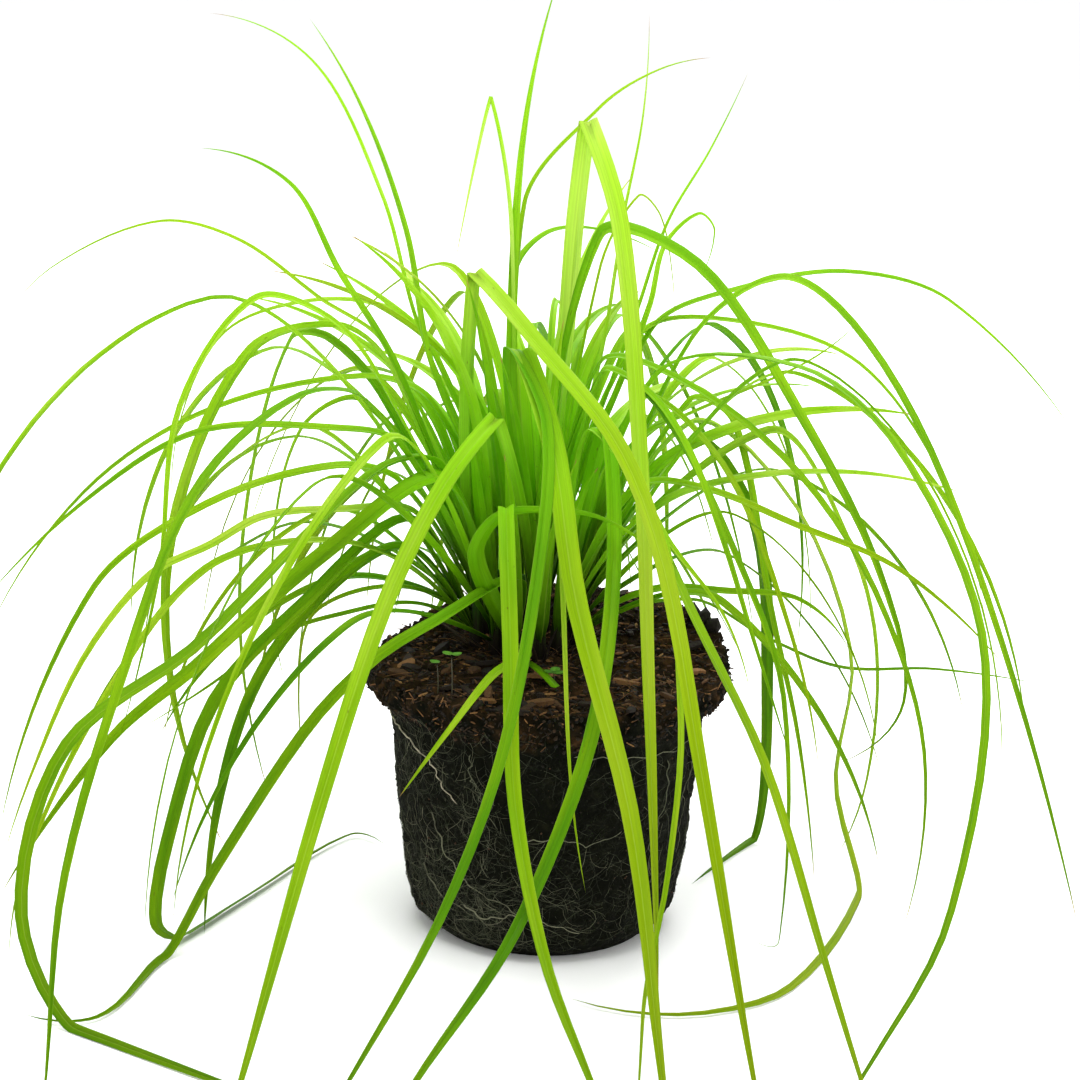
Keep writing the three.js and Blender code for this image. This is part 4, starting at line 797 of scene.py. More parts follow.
BALL_AROUND = 400
TOP_START = 95
BASE_RINGS = 9
SIDE_RINGS = 96
COLLAR_RINGS = 18
TOP_RINGS = 52
RING_GAP = 0.6
CROWN_SINK = 0.9
GRAIN_SIZE = 6
FINE_SIZE = 2.2
GRAIN_CONTRAST = 0.7
GRAIN_RATIO = 2.1
SIDE_LUMPS = 0.8
TOP_LUMPS = 1.5


def crumbs(x, y, z):
    coarse = np.sin(0.23 * x + 1.3) * np.sin(0.21 * y - 0.4) + np.sin(0.19 * z + 0.15 * x)
    fine = np.sin(0.83 * x + 0.6 * z) * np.cos(0.77 * y - 0.5 * z)
    return 0.35 * coarse + 0.3 * fine


def side_radius(z):
    return np.interp(z, [p[1] for p in SIDE_PROFILE[1:]], [p[0] for p in SIDE_PROFILE[1:]])


def collared(radius, angle):
    """The moulded radius at a compass angle: the collar steps out most at the two sides."""
    share = LIP_FRONT_SHARE + (1 - LIP_FRONT_SHARE) * np.cos(angle) ** 4
    return NECK_RADIUS + (radius - NECK_RADIUS) * share


def moulded(x, y, z, is_top):
    """The solid's own relief at a place on the plain turned shape."""
    plain = np.where(is_top, RIM_RADIUS, np.maximum(np.hypot(x, y), 1))
    fit = np.where(z > LIP_START + 0.5, collared(plain, np.arctan2(y, x)) / plain, 1)
    x, y = x * fit, y * fit
    raised = (soil_height(x, y) - BALL_HEIGHT) * smooth((z - LIP_START) / RAISED_OVER)
    relief = np.where(z > LIP_START - 1, LIP_RELIEF, SIDE_RELIEF)
    swell = np.where(is_top, 1, 1 + relief * crumbs(x, y, z) / np.maximum(np.hypot(x, y), 1))
    swell = np.where(z < 1, 1, swell)
    uneven = 0.5 + 0.5 * crumbs(TOP_GRAIN * x, TOP_GRAIN * y, z)
    sunk = np.where(is_top, TOP_RELIEF * uneven, 0)
    return x * swell, y * swell, z + raised - sunk


def grain(x, y, z, size=GRAIN_SIZE, octaves=3):
    """Uneven values of about -1 to 1 with lumps of the given size."""
    spots = stacked(x, y, z).reshape(-1, 3) / size
    values = [noise.fractal(spot, GRAIN_CONTRAST, GRAIN_RATIO, octaves) for spot in spots.tolist()]
    return np.array(values).reshape(np.shape(x))


def side_spot(angle, z, lift):
    """A place on the grainy side at a compass angle in radians and a height, lifted off it."""
    radius = side_radius(z)
    x, y, high = moulded(radius * np.cos(angle), radius * np.sin(angle), z, False)
    rough = grain(x, y, high) * SIDE_LUMPS + lift
    return stacked(x + rough * np.cos(angle), y + rough * np.sin(angle), high)


def make_ball(material):
    under = [(radius, 0) for radius in np.linspace(0, BASE_RADIUS, BASE_RINGS)]
    levels = np.concatenate((
        np.linspace(RING_GAP, LIP_START, SIDE_RINGS),
        np.linspace(LIP_START + RING_GAP, TOP_START, COLLAR_RINGS),
    ))
    side = [(side_radius(z), z) for z in levels]
    top = [(RIM_RADIUS * share, BALL_HEIGHT) for share in np.linspace(0.985, 0, TOP_RINGS)]
    profile = np.array(under[1:] + side + top[:-1])
    angle = bearings(BALL_AROUND)
    radius, level = profile[:, :1], np.broadcast_to(profile[:, 1:], (len(profile), BALL_AROUND))
    is_top = level > TOP_START + 0.5
    x, y, z = moulded(radius * np.cos(angle), radius * np.sin(angle), level, is_top)
    lumps = grain(x, y, z)
    fine = grain(x, y, z, FINE_SIZE, 2)
    collar = smooth((level - LIP_START + 4) / 6)
    outward = np.where(is_top, 0.25 * smooth((radius - 50) / 10), 1) * smooth(level / 5)
    push = outward * (lumps * mix(SIDE_LUMPS, 1.3, collar) + fine * mix(0.35, 0.6, collar))
    rise = np.where(is_top, TOP_LUMPS * lumps + 0.8 * fine, collar * (lumps + 0.5 * fine))
    x = x + push * np.cos(angle)
    y = y + push * np.sin(angle)
    z = np.maximum(z + rise * smooth((level - 2) / 5), 0)
    corners = stacked(x, y, z).reshape(-1, 3)
    crown_top = soil_height(0, 0) - CROWN_SINK + float(grain(0, 0, BALL_HEIGHT + 3))
    corners = np.concatenate((corners, ((0, 0, 0), (0, 0, crown_top))))
    paint = stacked(collar, is_top, 0, 0).reshape(-1, 4)
    paint = np.concatenate((paint, np.zeros((2, 4))))
    shape = Shape()
    shape.add(corners, spindle_faces(len(profile), BALL_AROUND), paint)
    make_piece("peat_ball", shape, [material], ("root_ball",))


# ---- Roots over the side ----

STRAND_SIDE = (0.31, 0.22, 0.92)
ROOT_STRANDS = 900
ROOT_WIGGLE = (0.012, 0.5)
ROOT_WAVES = (0.9, 0.7)
DENSE_SHARE = 0.45
DENSE_LEFT = (195, 265)
LOWEST_ROOT = 1.5
HIGHEST_ROOT = 91
SHORTEST_ROOT = 5
ROOT_STEP = 2
BRANCHES = 4


def add_strand(shape, points, radii, sides, paint):
    """A thin closed tube along the points, ending in a point at each end."""
    along = unit(np.gradient(points, axis=0))
    side = unit(np.cross(along, STRAND_SIDE))
    other = np.cross(along, side)
    turn = bearings(sides)[:, None]
    ring = side[:, None] * np.cos(turn) + other[:, None] * np.sin(turn)
    rings = (points[:, None] + ring * radii[:, None, None])[1:-1]
    corners = np.concatenate((rings.reshape(-1, 3), points[:1], points[-1:]))
    shape.add(corners, spindle_faces(len(points) - 2, sides), paint)


def smoothed(points, steps):
    """A denser run of values through points (count, columns), rounded at each point."""
    places = np.linspace(0, len(points) - 1, steps)
    values = np.stack([np.interp(places, range(len(points)), column) for column in points.T], -1)
    for _ in range(2):
        values[1:-1] = (values[:-2] + 2 * values[1:-1] + values[2:]) / 4
    return values


def root_walk(draw, angle, z, heading, length, wander):
    """Angles and heights of a root that wanders over the side, heading in radians below level."""
    places = [(angle, z)]
    curl = 0
    for _ in range(int(length / ROOT_STEP)):
        curl = 0.75 * curl + draw.span(-1, 1) * wander
        heading += curl
        angle += ROOT_STEP * math.cos(heading) / side_radius(z)
        z -= ROOT_STEP * math.sin(heading)
        if not LOWEST_ROOT <= z <= HIGHEST_ROOT:
            break
        places.append((angle, z))
    return np.array(places)


def make_roots(material):
    """The pale roots seen in the photo with their branches, and the fine net all round."""
    draw = Draw(ROOT_SEED)
    thick = Shape()
    for radius, paleness, *places in SURFACE_ROOTS:
        line = smoothed(np.array(places) * (math.radians(1), 1), 10 * len(places))
        phases = draw.span(0, 6), draw.span(0, 6)
        line += ROOT_WIGGLE * np.sin(np.arange(len(line))[:, None] * ROOT_WAVES + phases)
        points = side_spot(*line.T, 0.25)
        share = np.linspace(0, 1, len(points))
        radii = radius * (1 - 0.5 * share) * (1 + 0.1 * np.sin(share * 40))
        add_strand(thick, points, radii, 6, (paleness, paleness, 0, 0))
        for _ in range(BRANCHES):
            start = line[int(draw.span(2, len(line) - 4))]
            branch = root_walk(draw, *start, draw.span(0, 3), draw.span(10, 24), 0.25)
            if len(branch) >= SHORTEST_ROOT:
                points = side_spot(*branch.T, 0.2)
                radii = 0.12 * (1 - 0.6 * np.linspace(0, 1, len(points)))
                add_strand(thick, points, radii, 4, (draw.next(), 0.5, 0, 0))
    make_piece("surface_roots", thick, [material])
    net = Shape()
    for _ in range(ROOT_STRANDS):
        left = draw.next() < DENSE_SHARE
        angle = math.radians(draw.span(*(DENSE_LEFT if left else (0, 360))))
        low = draw.next() < DENSE_SHARE
        z = draw.span(3, 34) if low else draw.span(8, 90)
        heading = draw.span(-0.5, 3.6) if low else draw.span(0.6, 2.6)
        line = root_walk(draw, angle, z, heading, draw.span(16, 70), 0.3)
        if len(line) < SHORTEST_ROOT:
            continue
        weave = 0.12 + 0.3 * np.sin(np.arange(len(line)) * 0.8 + draw.span(0, 6))
        points = side_spot(*line.T, weave)
        share = np.linspace(0, 1, len(points))
        radii = draw.span(0.045, 0.1) * (1 - 0.5 * share)
        add_strand(net, points, radii, 3, (draw.next(), draw.span(0, 0.85), 0, 0))
    make_piece("root_net", net, [material])


# ---- Bark, coir and crumbs on the soil ----

BARK_CHIPS = 2400
LARGE_CHIPS = 84
COIR_HAIRS = 240
SOIL_CRUMBS = 2600
SOIL_REACH = 62
SHOULDER = (84, 96)

# Length, width and thickness of the chips.
LARGE_CHIP = ((5, 12), (2.2, 4.5), (1, 1.8))
SHOULDER_CHIP = ((1.4, 4.5), (0.25, 0.6), (0.2, 0.4))
SMALL_CHIP = ((1.2, 4.5), (0.4, 1.3), (0.3, 0.7))

# Where along a chip its rings lie, and how wide it is there.
CHIP_RINGS = ((-0.5, 0.45), (-0.32, 0.9), (0.05, 1), (0.35, 0.8), (0.5, 0.35))


def turned(draw, tilt):
    """A rotation: any heading, then up to tilt radians off the level."""
    level = Matrix.Rotation(draw.span(0, 2 * math.pi), 3, "Z")
    lean = Matrix.Rotation(draw.span(-tilt, tilt), 3, "X")
    roll = Matrix.Rotation(draw.span(-tilt, tilt), 3, "Y")
    return np.array(level @ lean @ roll)


def top_spot(draw, reach, lift):
    """A place on the soil's top, within reach of the middle of the ball, raised by lift."""
    radius = reach * math.sqrt(draw.next())
    angle = draw.span(0, 2 * math.pi)
    x, y = radius * math.cos(angle), radius * math.sin(angle)
    *spot, z = moulded(x, y, BALL_HEIGHT, True)
    return np.array((*spot, z + TOP_LUMPS * grain(x, y, z) + lift))


def add_flake(shape, draw, spot, size, tilt, tone):
    """A splinter of bark: a flat four-sided bar with ragged, narrowed ends."""
    length, width, thick = size
    rings = []
    for place, share in CHIP_RINGS:
        wide = width * share * draw.span(0.75, 1.1) / 2
        high = thick * (0.5 + 0.5 * share) * draw.span(0.8, 1.15) / 2
        slip = draw.span(-0.12, 0.12) * width
        along = length * place
        rings.append(((along, slip - wide, -high), (along, slip + wide, -high),
                      (along, slip + wide * 0.8, high), (along, slip - wide * 0.8, high)))
    corners = np.array(rings) @ turned(draw, tilt).T + spot
    shape.add(corners, tube_faces(len(rings), 4), (tone, draw.next(), 0, 0))


ICO_LONG = (1 + math.sqrt(5)) / 2
ICO_CORNERS = unit(np.array([
    (-1, ICO_LONG, 0), (1, ICO_LONG, 0), (-1, -ICO_LONG, 0), (1, -ICO_LONG, 0),
    (0, -1, ICO_LONG), (0, 1, ICO_LONG), (0, -1, -ICO_LONG), (0, 1, -ICO_LONG),
    (ICO_LONG, 0, -1), (ICO_LONG, 0, 1), (-ICO_LONG, 0, -1), (-ICO_LONG, 0, 1),
]))
ICO_FACES = (
    (0, 11, 5), (0, 5, 1), (0, 1, 7), (0, 7, 10), (0, 10, 11), (1, 5, 9), (5, 11, 4), (11, 10, 2),
    (10, 7, 6), (7, 1, 8), (3, 9, 4), (3, 4, 2), (3, 2, 6), (3, 6, 8), (3, 8, 9), (4, 9, 5),
    (2, 4, 11), (6, 2, 10), (8, 6, 7), (9, 8, 1),
)


def add_crumb(shape, draw, spot, size, tone):
    """A lump of soil: an uneven, stretched ball of 20 faces."""
    bumps = np.array([draw.span(0.7, 1.2) for _ in ICO_CORNERS])[:, None]
    stretch = np.array((draw.span(0.7, 1.3), draw.span(0.7, 1.3), draw.span(0.6, 1)))
    corners = (ICO_CORNERS * bumps * stretch * size / 2) @ turned(draw, 1.5).T + spot
    shape.add(corners, ICO_FACES, (tone, draw.next(), 0, 0))


def make_bark(material):
    """Chips all over the soil, splinters on its shoulder, and curved coir hairs."""
    draw = Draw(BARK_SEED)
    shape = Shape()
    for chip in range(BARK_CHIPS):
        large = chip < LARGE_CHIPS
        on_shoulder = chip % 4 == 3 and not large
        kind = LARGE_CHIP if large else (SHOULDER_CHIP if on_shoulder else SMALL_CHIP)
        size = [draw.span(*limits) for limits in kind]
        if on_shoulder:
            spot = side_spot(draw.span(0, 2 * math.pi), draw.span(*SHOULDER), 0.3)
        else:
            spot = top_spot(draw, SOIL_REACH, 0.35 * size[2] + draw.span(0, 0.5))
        near_crown = math.hypot(spot[0] - CROWN[0], spot[1] - CROWN[1]) < CHIP_CROWN_GAP
        if large and near_crown:
            continue
        tone = draw.next() ** (1 if large else 1.35)
        add_flake(shape, draw, spot, size, 1.1 if on_shoulder else 0.3, tone)
    for _ in range(COIR_HAIRS):
        spot = top_spot(draw, SOIL_REACH, 0.5)
        heading = draw.span(0, 2 * math.pi)
        length = draw.span(5, 16)
        bow = draw.span(-0.4, 0.4)
        share = np.linspace(-0.5, 0.5, 9)
        way = heading + bow * share * 2
        points = spot + stacked(
            length * share * np.cos(way),
            length * share * np.sin(way),
            draw.span(0.2, 1.6) * np.cos(share * math.pi) - 0.2,
        )
        radii = np.full(len(points), draw.span(0.06, 0.13))
        add_strand(shape, points, radii, 3, (draw.span(0.5, 1), 0.9, 0, 0))
    make_piece("bark_and_coir", shape, [material], shade_smooth=False)


def make_crumbs(material):
    """Crumbs on the soil, its collar and its side, and the lumps at the rear of the rim."""
    draw = Draw(CRUMB_SEED)
    shape = Shape()
    for crumb in range(SOIL_CRUMBS):
        place = crumb % 5
        if place < 2:
            spot = top_spot(draw, SOIL_REACH + 1, 0.2)
        else:
            angle = draw.span(0, 2 * math.pi)
            z = draw.span(82, 95) if place < 4 else draw.span(4, 84)
            spot = side_spot(angle, z, 0.1)
        size = draw.span(0.5, 1.7) if place < 4 else draw.span(0.4, 1.1)
        add_crumb(shape, draw, spot, size, draw.next())
    for x, y, above, size in REAR_LUMPS:
        add_crumb(shape, draw, np.array((x, y, soil_height(x, y) + above)), size, 0.3)
    make_piece("soil_crumbs", shape, [material])


# ---- Seedlings and dry sheaths ----

LEAF_AROUND = 20
STALK_BELOW = 3.5
DRY_PER_SHOOT = 4
DRY_SETOFF = 3.1
DRY_SUNK = 1.5
STRAP_THICK = 0.12

# The rings of a seed leaf from the middle of its underside round to its top: which face each
# lies on and how far out.
LEAF_RINGS = ((-1, 0.3), (-1, 0.65), (-1, 0.96), (1, 1), (1, 0.92), (1, 0.65), (1, 0.3))


def make_seedlings(material):
    """Each seedling: a thread-like stalk that starts under the soil, and its round leaves."""
    for number, ((x, y), height, leaves) in enumerate(SEEDLINGS, 1):
        draw = Draw(SEEDLING_SEED + number)
        shape = Shape()
        ground = soil_height(x, y)
        share = np.linspace(0, 1, 10)
        points = stacked(
            x + 0.25 * np.sin(share * 4),
            y + 0.2 * np.sin(share * 3 + 1),
            ground - STALK_BELOW + (height + STALK_BELOW - 0.2) * share,
        )
        add_strand(shape, points, 0.24 - 0.08 * share, 8, (0.2, 0.5, 0, 0))
        for degrees, reach, radius in leaves:
            heading = math.radians(degrees)
            add_seed_leaf(shape, (x, y, ground + height - 0.1 * radius), heading, reach, radius, draw)
        name = f"seedling_{number}"
        make_piece(f"weed_{name}", shape, [material], (name,))


def add_seed_leaf(shape, foot, heading, reach, radius, draw):
    """A rounded, slightly cupped leaf blade with thickness, joined to the top of its stalk."""
    turn = bearings(LEAF_AROUND)
    face, share = (np.array(column)[:, None] for column in zip(*LEAF_RINGS))
    notch = 1 - 0.06 * np.cos(turn) ** 8 * share
    out = reach + radius * share * np.cos(turn) * notch
    wide = 0.84 * radius * share * np.sin(turn) * notch
    cup = 0.18 * radius * share ** 2 + 0.22 * face * (1 - 0.75 * share ** 3)
    crease = -0.12 * radius * np.exp(-((wide / (0.25 * radius)) ** 2)) * (share < 0.95)
    rings = stacked(
        foot[0] + out * math.cos(heading) - wide * math.sin(heading),
        foot[1] + out * math.sin(heading) + wide * math.cos(heading),
        foot[2] + cup + crease + 0.12 * out,
    )
    shape.add(rings, tube_faces(len(rings), LEAF_AROUND), (0.7, 0.5, draw.next(), 0))


def make_dry_sheaths(material):
    """Old brown sheaths and dead blade bases that stand round the foot of each outer shoot."""
    shape = Shape()
    draw = Draw(DRY_SEED)
    for shoot in range(OUTER_SHOOTS):
        foot = shoot_foot(shoot)
        for _ in range(DRY_PER_SHOOT):
            heading = shoot_angle(shoot) + draw.span(-0.8, 0.8)
            length = draw.span(10, 26)
            lean = draw.span(0.25, 0.95)
            share = np.linspace(0, 1, 12)
            out = DRY_SETOFF + length * (share * math.sin(lean) + 0.1 * share ** 2)
            points = stacked(
                foot[0] + out * math.cos(heading),
                foot[1] + out * math.sin(heading),
                foot[2] - DRY_SUNK + length * (share * math.cos(lean) - 0.12 * share ** 2),
            )
            add_strap(shape, points, heading, draw.span(1.1, 2.2), draw.next())
    make_piece("dry_sheaths", shape, [material])


def make_cut_leaf(material):
    """A short leaf in front of the crown, cut off square, that leans over onto the soil."""
    shape = Shape()
    share = np.linspace(0, 1, 12)[:, None]
    start, end = np.array(CUT_LEAF)
    points = mix(start, end, share) + (0, 0, CUT_LEAF_ARCH) * np.sin(math.pi * share)
    half = 0.5 * CUT_LEAF_WIDTH * np.minimum(1, 0.5 + 3 * share)
    along = unit(end - start)
    level = unit(np.cross(along, (0, 0, 1)))
    up = np.cross(level, along)
    lift = up * 0.3 * half
    aside = level * half
    rings = np.stack((points - aside + lift, points, points + aside + lift, points + up * 0.2), axis=1)
    paint = stacked(0.2 + 0.3 * share, (0, 0.5, 1, 0.5), 0.55, 0.2)
    shape.add(rings, tube_faces(len(rings), 4), paint)
    make_piece("cut_leaf", shape, [material])


def add_strap(shape, points, heading, width, tone):
    """A thin pointed strap whose width lies level, across its heading."""
    *points, tip = points
    share = np.linspace(0, 1, len(points), endpoint=False)[:, None]
    half = 0.5 * width * (1 - share ** 2.2)
    aside = half * (-math.sin(heading), math.cos(heading), 0)
    outward = STRAP_THICK * np.array((math.cos(heading), math.sin(heading), 0.3))
    rings = np.stack((points - aside, points + outward, points + aside, points - outward), axis=1)
    corners = np.concatenate((rings.reshape(-1, 3), (tip,)))
    shape.add(corners, tube_faces(len(rings), 4, pointed=True), (tone, 0.5, 0, 0))


# ---- Materials ----


class Nodes:
    """A material under construction, with short ways to add and join its nodes."""

    def __init__(self, name):
        self.material = bpy.data.materials.new(name)
        self.material.use_nodes = True
        self.tree = self.material.node_tree
        self.tree.nodes.clear()

    def add(self, kind, inputs, **settings):
        """Adds a node, joins or sets its inputs and returns its outputs."""
        node = self.tree.nodes.new(f"ShaderNode{kind}")
        for key, value in settings.items():
            setattr(node, key, value)
        for key, value in inputs.items():
            if isinstance(value, bpy.types.NodeSocket):
                self.tree.links.new(value, node.inputs[key])
            else:
                node.inputs[key].default_value = value
        return node.outputs

    def math(self, operation, first, second):
        return self.add("Math", {0: first, 1: second}, operation=operation)[0]

    def times(self, first, second):
        return self.math("MULTIPLY", first, second)

    def plus(self, first, second):
        return self.math("ADD", first, second)

    def vector(self, x, y, z):
        return self.add("CombineXYZ", {0: x, 1: y, 2: z})[0]

    def remap(self, value, low, high, to_low=0, to_high=1):
        return self.add("MapRange", {0: value, 1: low, 2: high, 3: to_low, 4: to_high})[0]

    def blend(self, share, first, second, blend_type="MIX"):
        """The two colours mixed by share; a colour is an output or a linear red, green and blue."""
        colors = ((*value, 1) if isinstance(value, tuple) else value for value in (first, second))
        inputs = {0: share, **dict(zip((6, 7), colors))}
        return self.add("Mix", inputs, data_type="RGBA", blend_type=blend_type)[2]

    def ramp(self, value, *stops):
        color = self.add("ValToRGB", {0: value})[0]
        elements = color.node.color_ramp.elements
        while len(elements) < len(stops):
            elements.new(0.5)
        for element, (place, stop) in zip(elements, stops):
            element.position = place
            element.color = (*stop, 1)
        return color

    def noise(self, place, scale, detail=4, roughness=0.55):
        inputs = {"Vector": place, "Scale": scale, "Detail": detail, "Roughness": roughness}
        return self.add("TexNoise", inputs)[0]

    def threads(self, place, scale, width):
        """1 along the seams between uneven cells, falling to 0 at width from them."""
        inputs = {"Vector": place, "Scale": scale}
        seam = self.add("TexVoronoi", inputs, feature="DISTANCE_TO_EDGE")[0]
        return self.remap(seam, 0, width, 1, 0)

    def paint(self):
        """The four painted values of the mesh."""
        color, alpha = self.add("VertexColor", {}, layer_name="paint")
        return *self.add("SeparateColor", {0: color}), alpha

    def place(self):
        return self.add("TexCoord", {})["Object"]

    def surface(self, color, roughness, specular, height, strength, depth):
        """A plain shader with bumps of the given strength and depth in millimetres."""
        bump = self.add("Bump", {"Height": height, "Strength": strength, "Distance": depth * MM})[0]
        return self.add("BsdfPrincipled", {
            "Base Color": color, "Roughness": roughness, "Specular IOR Level": specular, "Normal": bump,
        })[0]

    def lit_through(self, front, color, share):
        """The front shader with a share of light that comes through from behind."""
        glow = self.add("BsdfTranslucent", {"Color": color})[0]
        return self.add("MixShader", {0: share, 1: front, 2: glow})[0]

    def finish(self, shader):
        self.add("OutputMaterial", {"Surface": shader})
        return self.material


# Linear colours of the living blades.
DEEP_GREEN = (0.04, 0.2, 0.002)
# A painted glow: the strong green that light turns after coming through many blades inside the tuft.
CROWN_GLOW_GREEN = (0.24, 0.69, 0.003)
MID_GREEN = (0.13, 0.37, 0.004)
LIME = (0.31, 0.56, 0.011)
PALE_LIME = (0.48, 0.67, 0.09)
YELLOW_LIME = (0.32, 0.45, 0.002)
FLECK_BROWN = (0.12, 0.1, 0.012)
TIP_TAN = (0.42, 0.26, 0.08)
LIGHT_THROUGH = (1.5, 1.35, 0.8)
THROUGH_SHARE = 0.36
GREEN_STOPS = ((0, DEEP_GREEN), (0.35, MID_GREEN), (0.7, LIME), (1, PALE_LIME))

# In metres: distances from the middle of the tuft and heights between which a look changes.
TUFT_INSIDE = (0.03, 0.075)
TUFT_TOP = (0.165, 0.225)
FOOT_INSIDE = (0.02, 0.05)
FOOT_TOP = (0.106, 0.158)
PALE_FROM = (0.08, 0.24)
SHADE_FROM = (0, 0.27)
LOW_SHADE = 0.56
HIGH_SHADE = 1.17


def blade_material():
    nodes = Nodes("blade_green")
    run, across, tone, vary = nodes.paint()

    def drawn_out(wide, long, apart):
        """A place for noise that is drawn out along the blade and differs from blade to blade."""
        return nodes.vector(nodes.times(across, wide), nodes.times(run, long), nodes.times(vary, apart))

    veins = nodes.noise(drawn_out(9, 2.2, 37), 2.4, 3, 0.6)
    patches = nodes.noise(drawn_out(0.5, 4, 61), 1.5, 2)
    flecks = nodes.remap(nodes.noise(drawn_out(3, 34, 91), 1.6, 2, 0.7), 0.71, 0.75)
    off_keel = nodes.math("ABSOLUTE", nodes.math("SUBTRACT", across, 0.5), 0)
    keel = nodes.remap(off_keel, 0, 0.055, 1, 0)
    rim = nodes.remap(off_keel, 0.455, 0.5)
    green = nodes.ramp(nodes.plus(tone, nodes.remap(patches, 0.3, 0.7, -0.16, 0.16)), *GREEN_STOPS)
    yellowed = nodes.times(nodes.remap(vary, 0.72, 1), nodes.remap(run, 0.15, 0.6))
    green = nodes.blend(nodes.times(yellowed, 0.75), green, YELLOW_LIME)
    # Painted glow: inside the tuft, light through many blades is painted on as a strong green.
    east, north, height = nodes.add("SeparateXYZ", {0: nodes.place()})
    east = nodes.math("SUBTRACT", east, CROWN[0] * MM)
    north = nodes.math("SUBTRACT", north, CROWN[1] * MM)
    off_middle = nodes.math("SQRT", nodes.plus(nodes.times(east, east), nodes.times(north, north)), 0)
    inside = nodes.times(nodes.remap(off_middle, *TUFT_INSIDE, 0.65, 0),
                         nodes.remap(height, *TUFT_TOP, 1, 0))
    green = nodes.blend(inside, green, CROWN_GLOW_GREEN)
    # The base of a blade stays deeper green, where the sheaths shade it.
    green = nodes.blend(nodes.remap(run, 0, 0.12, 0.9, 0), green, DEEP_GREEN)
    # Painted shade and light: darker the lower a blade hangs, and darker still at the tuft's foot,
    # where little light reaches.
    veins_and_shade = nodes.times(nodes.remap(veins, 0.35, 0.65, 0.87, 1.08),
                          nodes.remap(height, *SHADE_FROM, LOW_SHADE, HIGH_SHADE))
    foot = nodes.times(nodes.remap(off_middle, *FOOT_INSIDE, 0.78, 0),
                       nodes.remap(height, *FOOT_TOP, 1, 0))
    # The vein stripes carry the painted shade and light by height and the painted shade at the foot.
    veins_and_shade = nodes.times(veins_and_shade, nodes.math("SUBTRACT", 1, foot))
    # High blades are paler and low ones more saturated.
    paleness = nodes.times(veins_and_shade, nodes.remap(height, *PALE_FROM, 0.25, 1.35))
    shade = nodes.add("CombineColor", {0: veins_and_shade, 1: veins_and_shade, 2: paleness})[0]
    green = nodes.blend(1, green, shade, "MULTIPLY")
    groove = nodes.blend(nodes.remap(vary, 0.45, 0.55), MID_GREEN, PALE_LIME)
    green = nodes.blend(nodes.times(keel, 0.3), green, groove)
    green = nodes.blend(nodes.times(rim, 0.2), green, PALE_LIME)
    green = nodes.blend(nodes.times(flecks, 0.7), green, FLECK_BROWN)
    tip = nodes.times(nodes.remap(run, 0.955, 0.985), nodes.remap(vary, 0.35, 0.5))
    green = nodes.blend(tip, green, TIP_TAN)
    ribs = nodes.plus(veins, nodes.times(keel, -1.2))
    front = nodes.surface(green, nodes.remap(veins, 0.3, 0.7, 0.4, 0.55), 0.07, ribs, 0.3, 0.3)
    through = nodes.blend(1, green, LIGHT_THROUGH, "MULTIPLY")
    return nodes.finish(nodes.lit_through(front, through, THROUGH_SHARE))


SHEATH_STOPS = ((0, (0.006, 0.0035, 0.0025)), (0.3, (0.013, 0.012, 0.004)), (0.6, (0.02, 0.05, 0.005)),
                (0.95, (0.035, 0.13, 0.004)))


def sheath_material():
    nodes = Nodes("sheath")
    run, across, tone, _ = nodes.paint()
    fibres = nodes.noise(nodes.vector(nodes.times(across, 60), nodes.times(run, 8), tone), 1, 4, 0.65)
    climb = nodes.plus(nodes.times(run, 9), nodes.remap(fibres, 0.3, 0.7, -0.3, 0.3))
    color = nodes.ramp(climb, *SHEATH_STOPS)
    return nodes.finish(nodes.surface(color, 0.7, 0.1, fibres, 0.6, 0.5))


DARK_PEAT = ((0.3, (0.001, 0.0012, 0.0004)), (0.55, (0.0029, 0.0033, 0.0013)),
             (0.75, (0.009, 0.0092, 0.0038)))
BROWN_PEAT = ((0.28, (0.003, 0.0022, 0.0008)), (0.5, (0.017, 0.01, 0.0036)),
              (0.72, (0.075, 0.036, 0.013)))
PEAT_SPECK = (0.1, 0.07, 0.04)
FELT_GREY = (0.07, 0.078, 0.052)
FELT_WANDER = 0.007


def peat_material():
    nodes = Nodes("peat")
    collar, top, _, _ = nodes.paint()
    place = nodes.place()
    coarse = nodes.noise(place, 160, 6, 0.65)
    fine = nodes.noise(place, 900, 5, 0.7)
    patchy = nodes.remap(nodes.noise(place, 75, 4, 0.65), 0.44, 0.6)
    redness = nodes.math("MAXIMUM", top, nodes.times(collar, patchy))
    color = nodes.blend(redness, nodes.ramp(coarse, *DARK_PEAT), nodes.ramp(coarse, *BROWN_PEAT))
    color = nodes.blend(nodes.times(nodes.remap(fine, 0.62, 0.7), 0.2), color, PEAT_SPECK)
    # The finest roots are a pale felt that lies on the side in threads.
    wander = nodes.add("TexNoise", {"Vector": place, "Scale": 190})[1]
    wander = nodes.add("VectorMath", {0: wander, 3: FELT_WANDER}, operation="SCALE")[0]
    warp = nodes.add("VectorMath", {0: place, 1: wander}, operation="ADD")[0]
    felt = nodes.math("MAXIMUM", nodes.threads(warp, 210, 0.035),
                      nodes.times(nodes.threads(warp, 430, 0.05), 0.6))
    cover = nodes.remap(nodes.noise(place, 42, 3), 0.42, 0.62)
    felt = nodes.times(nodes.times(felt, cover), nodes.remap(collar, 0.2, 0))
    color = nodes.blend(nodes.times(felt, 0.3), color, FELT_GREY)
    height = nodes.plus(nodes.plus(coarse, nodes.times(fine, 0.5)), nodes.times(felt, 0.3))
    return nodes.finish(nodes.surface(color, 0.95, 0.06, height, 0.9, 1.2))


ROOT_STOPS = ((0, (0.015, 0.018, 0.01)), (0.5, (0.052, 0.059, 0.035)), (0.85, (0.17, 0.17, 0.11)),
              (1, (0.42, 0.38, 0.27)))
ROOT_SOILED = (0.012, 0.011, 0.008)


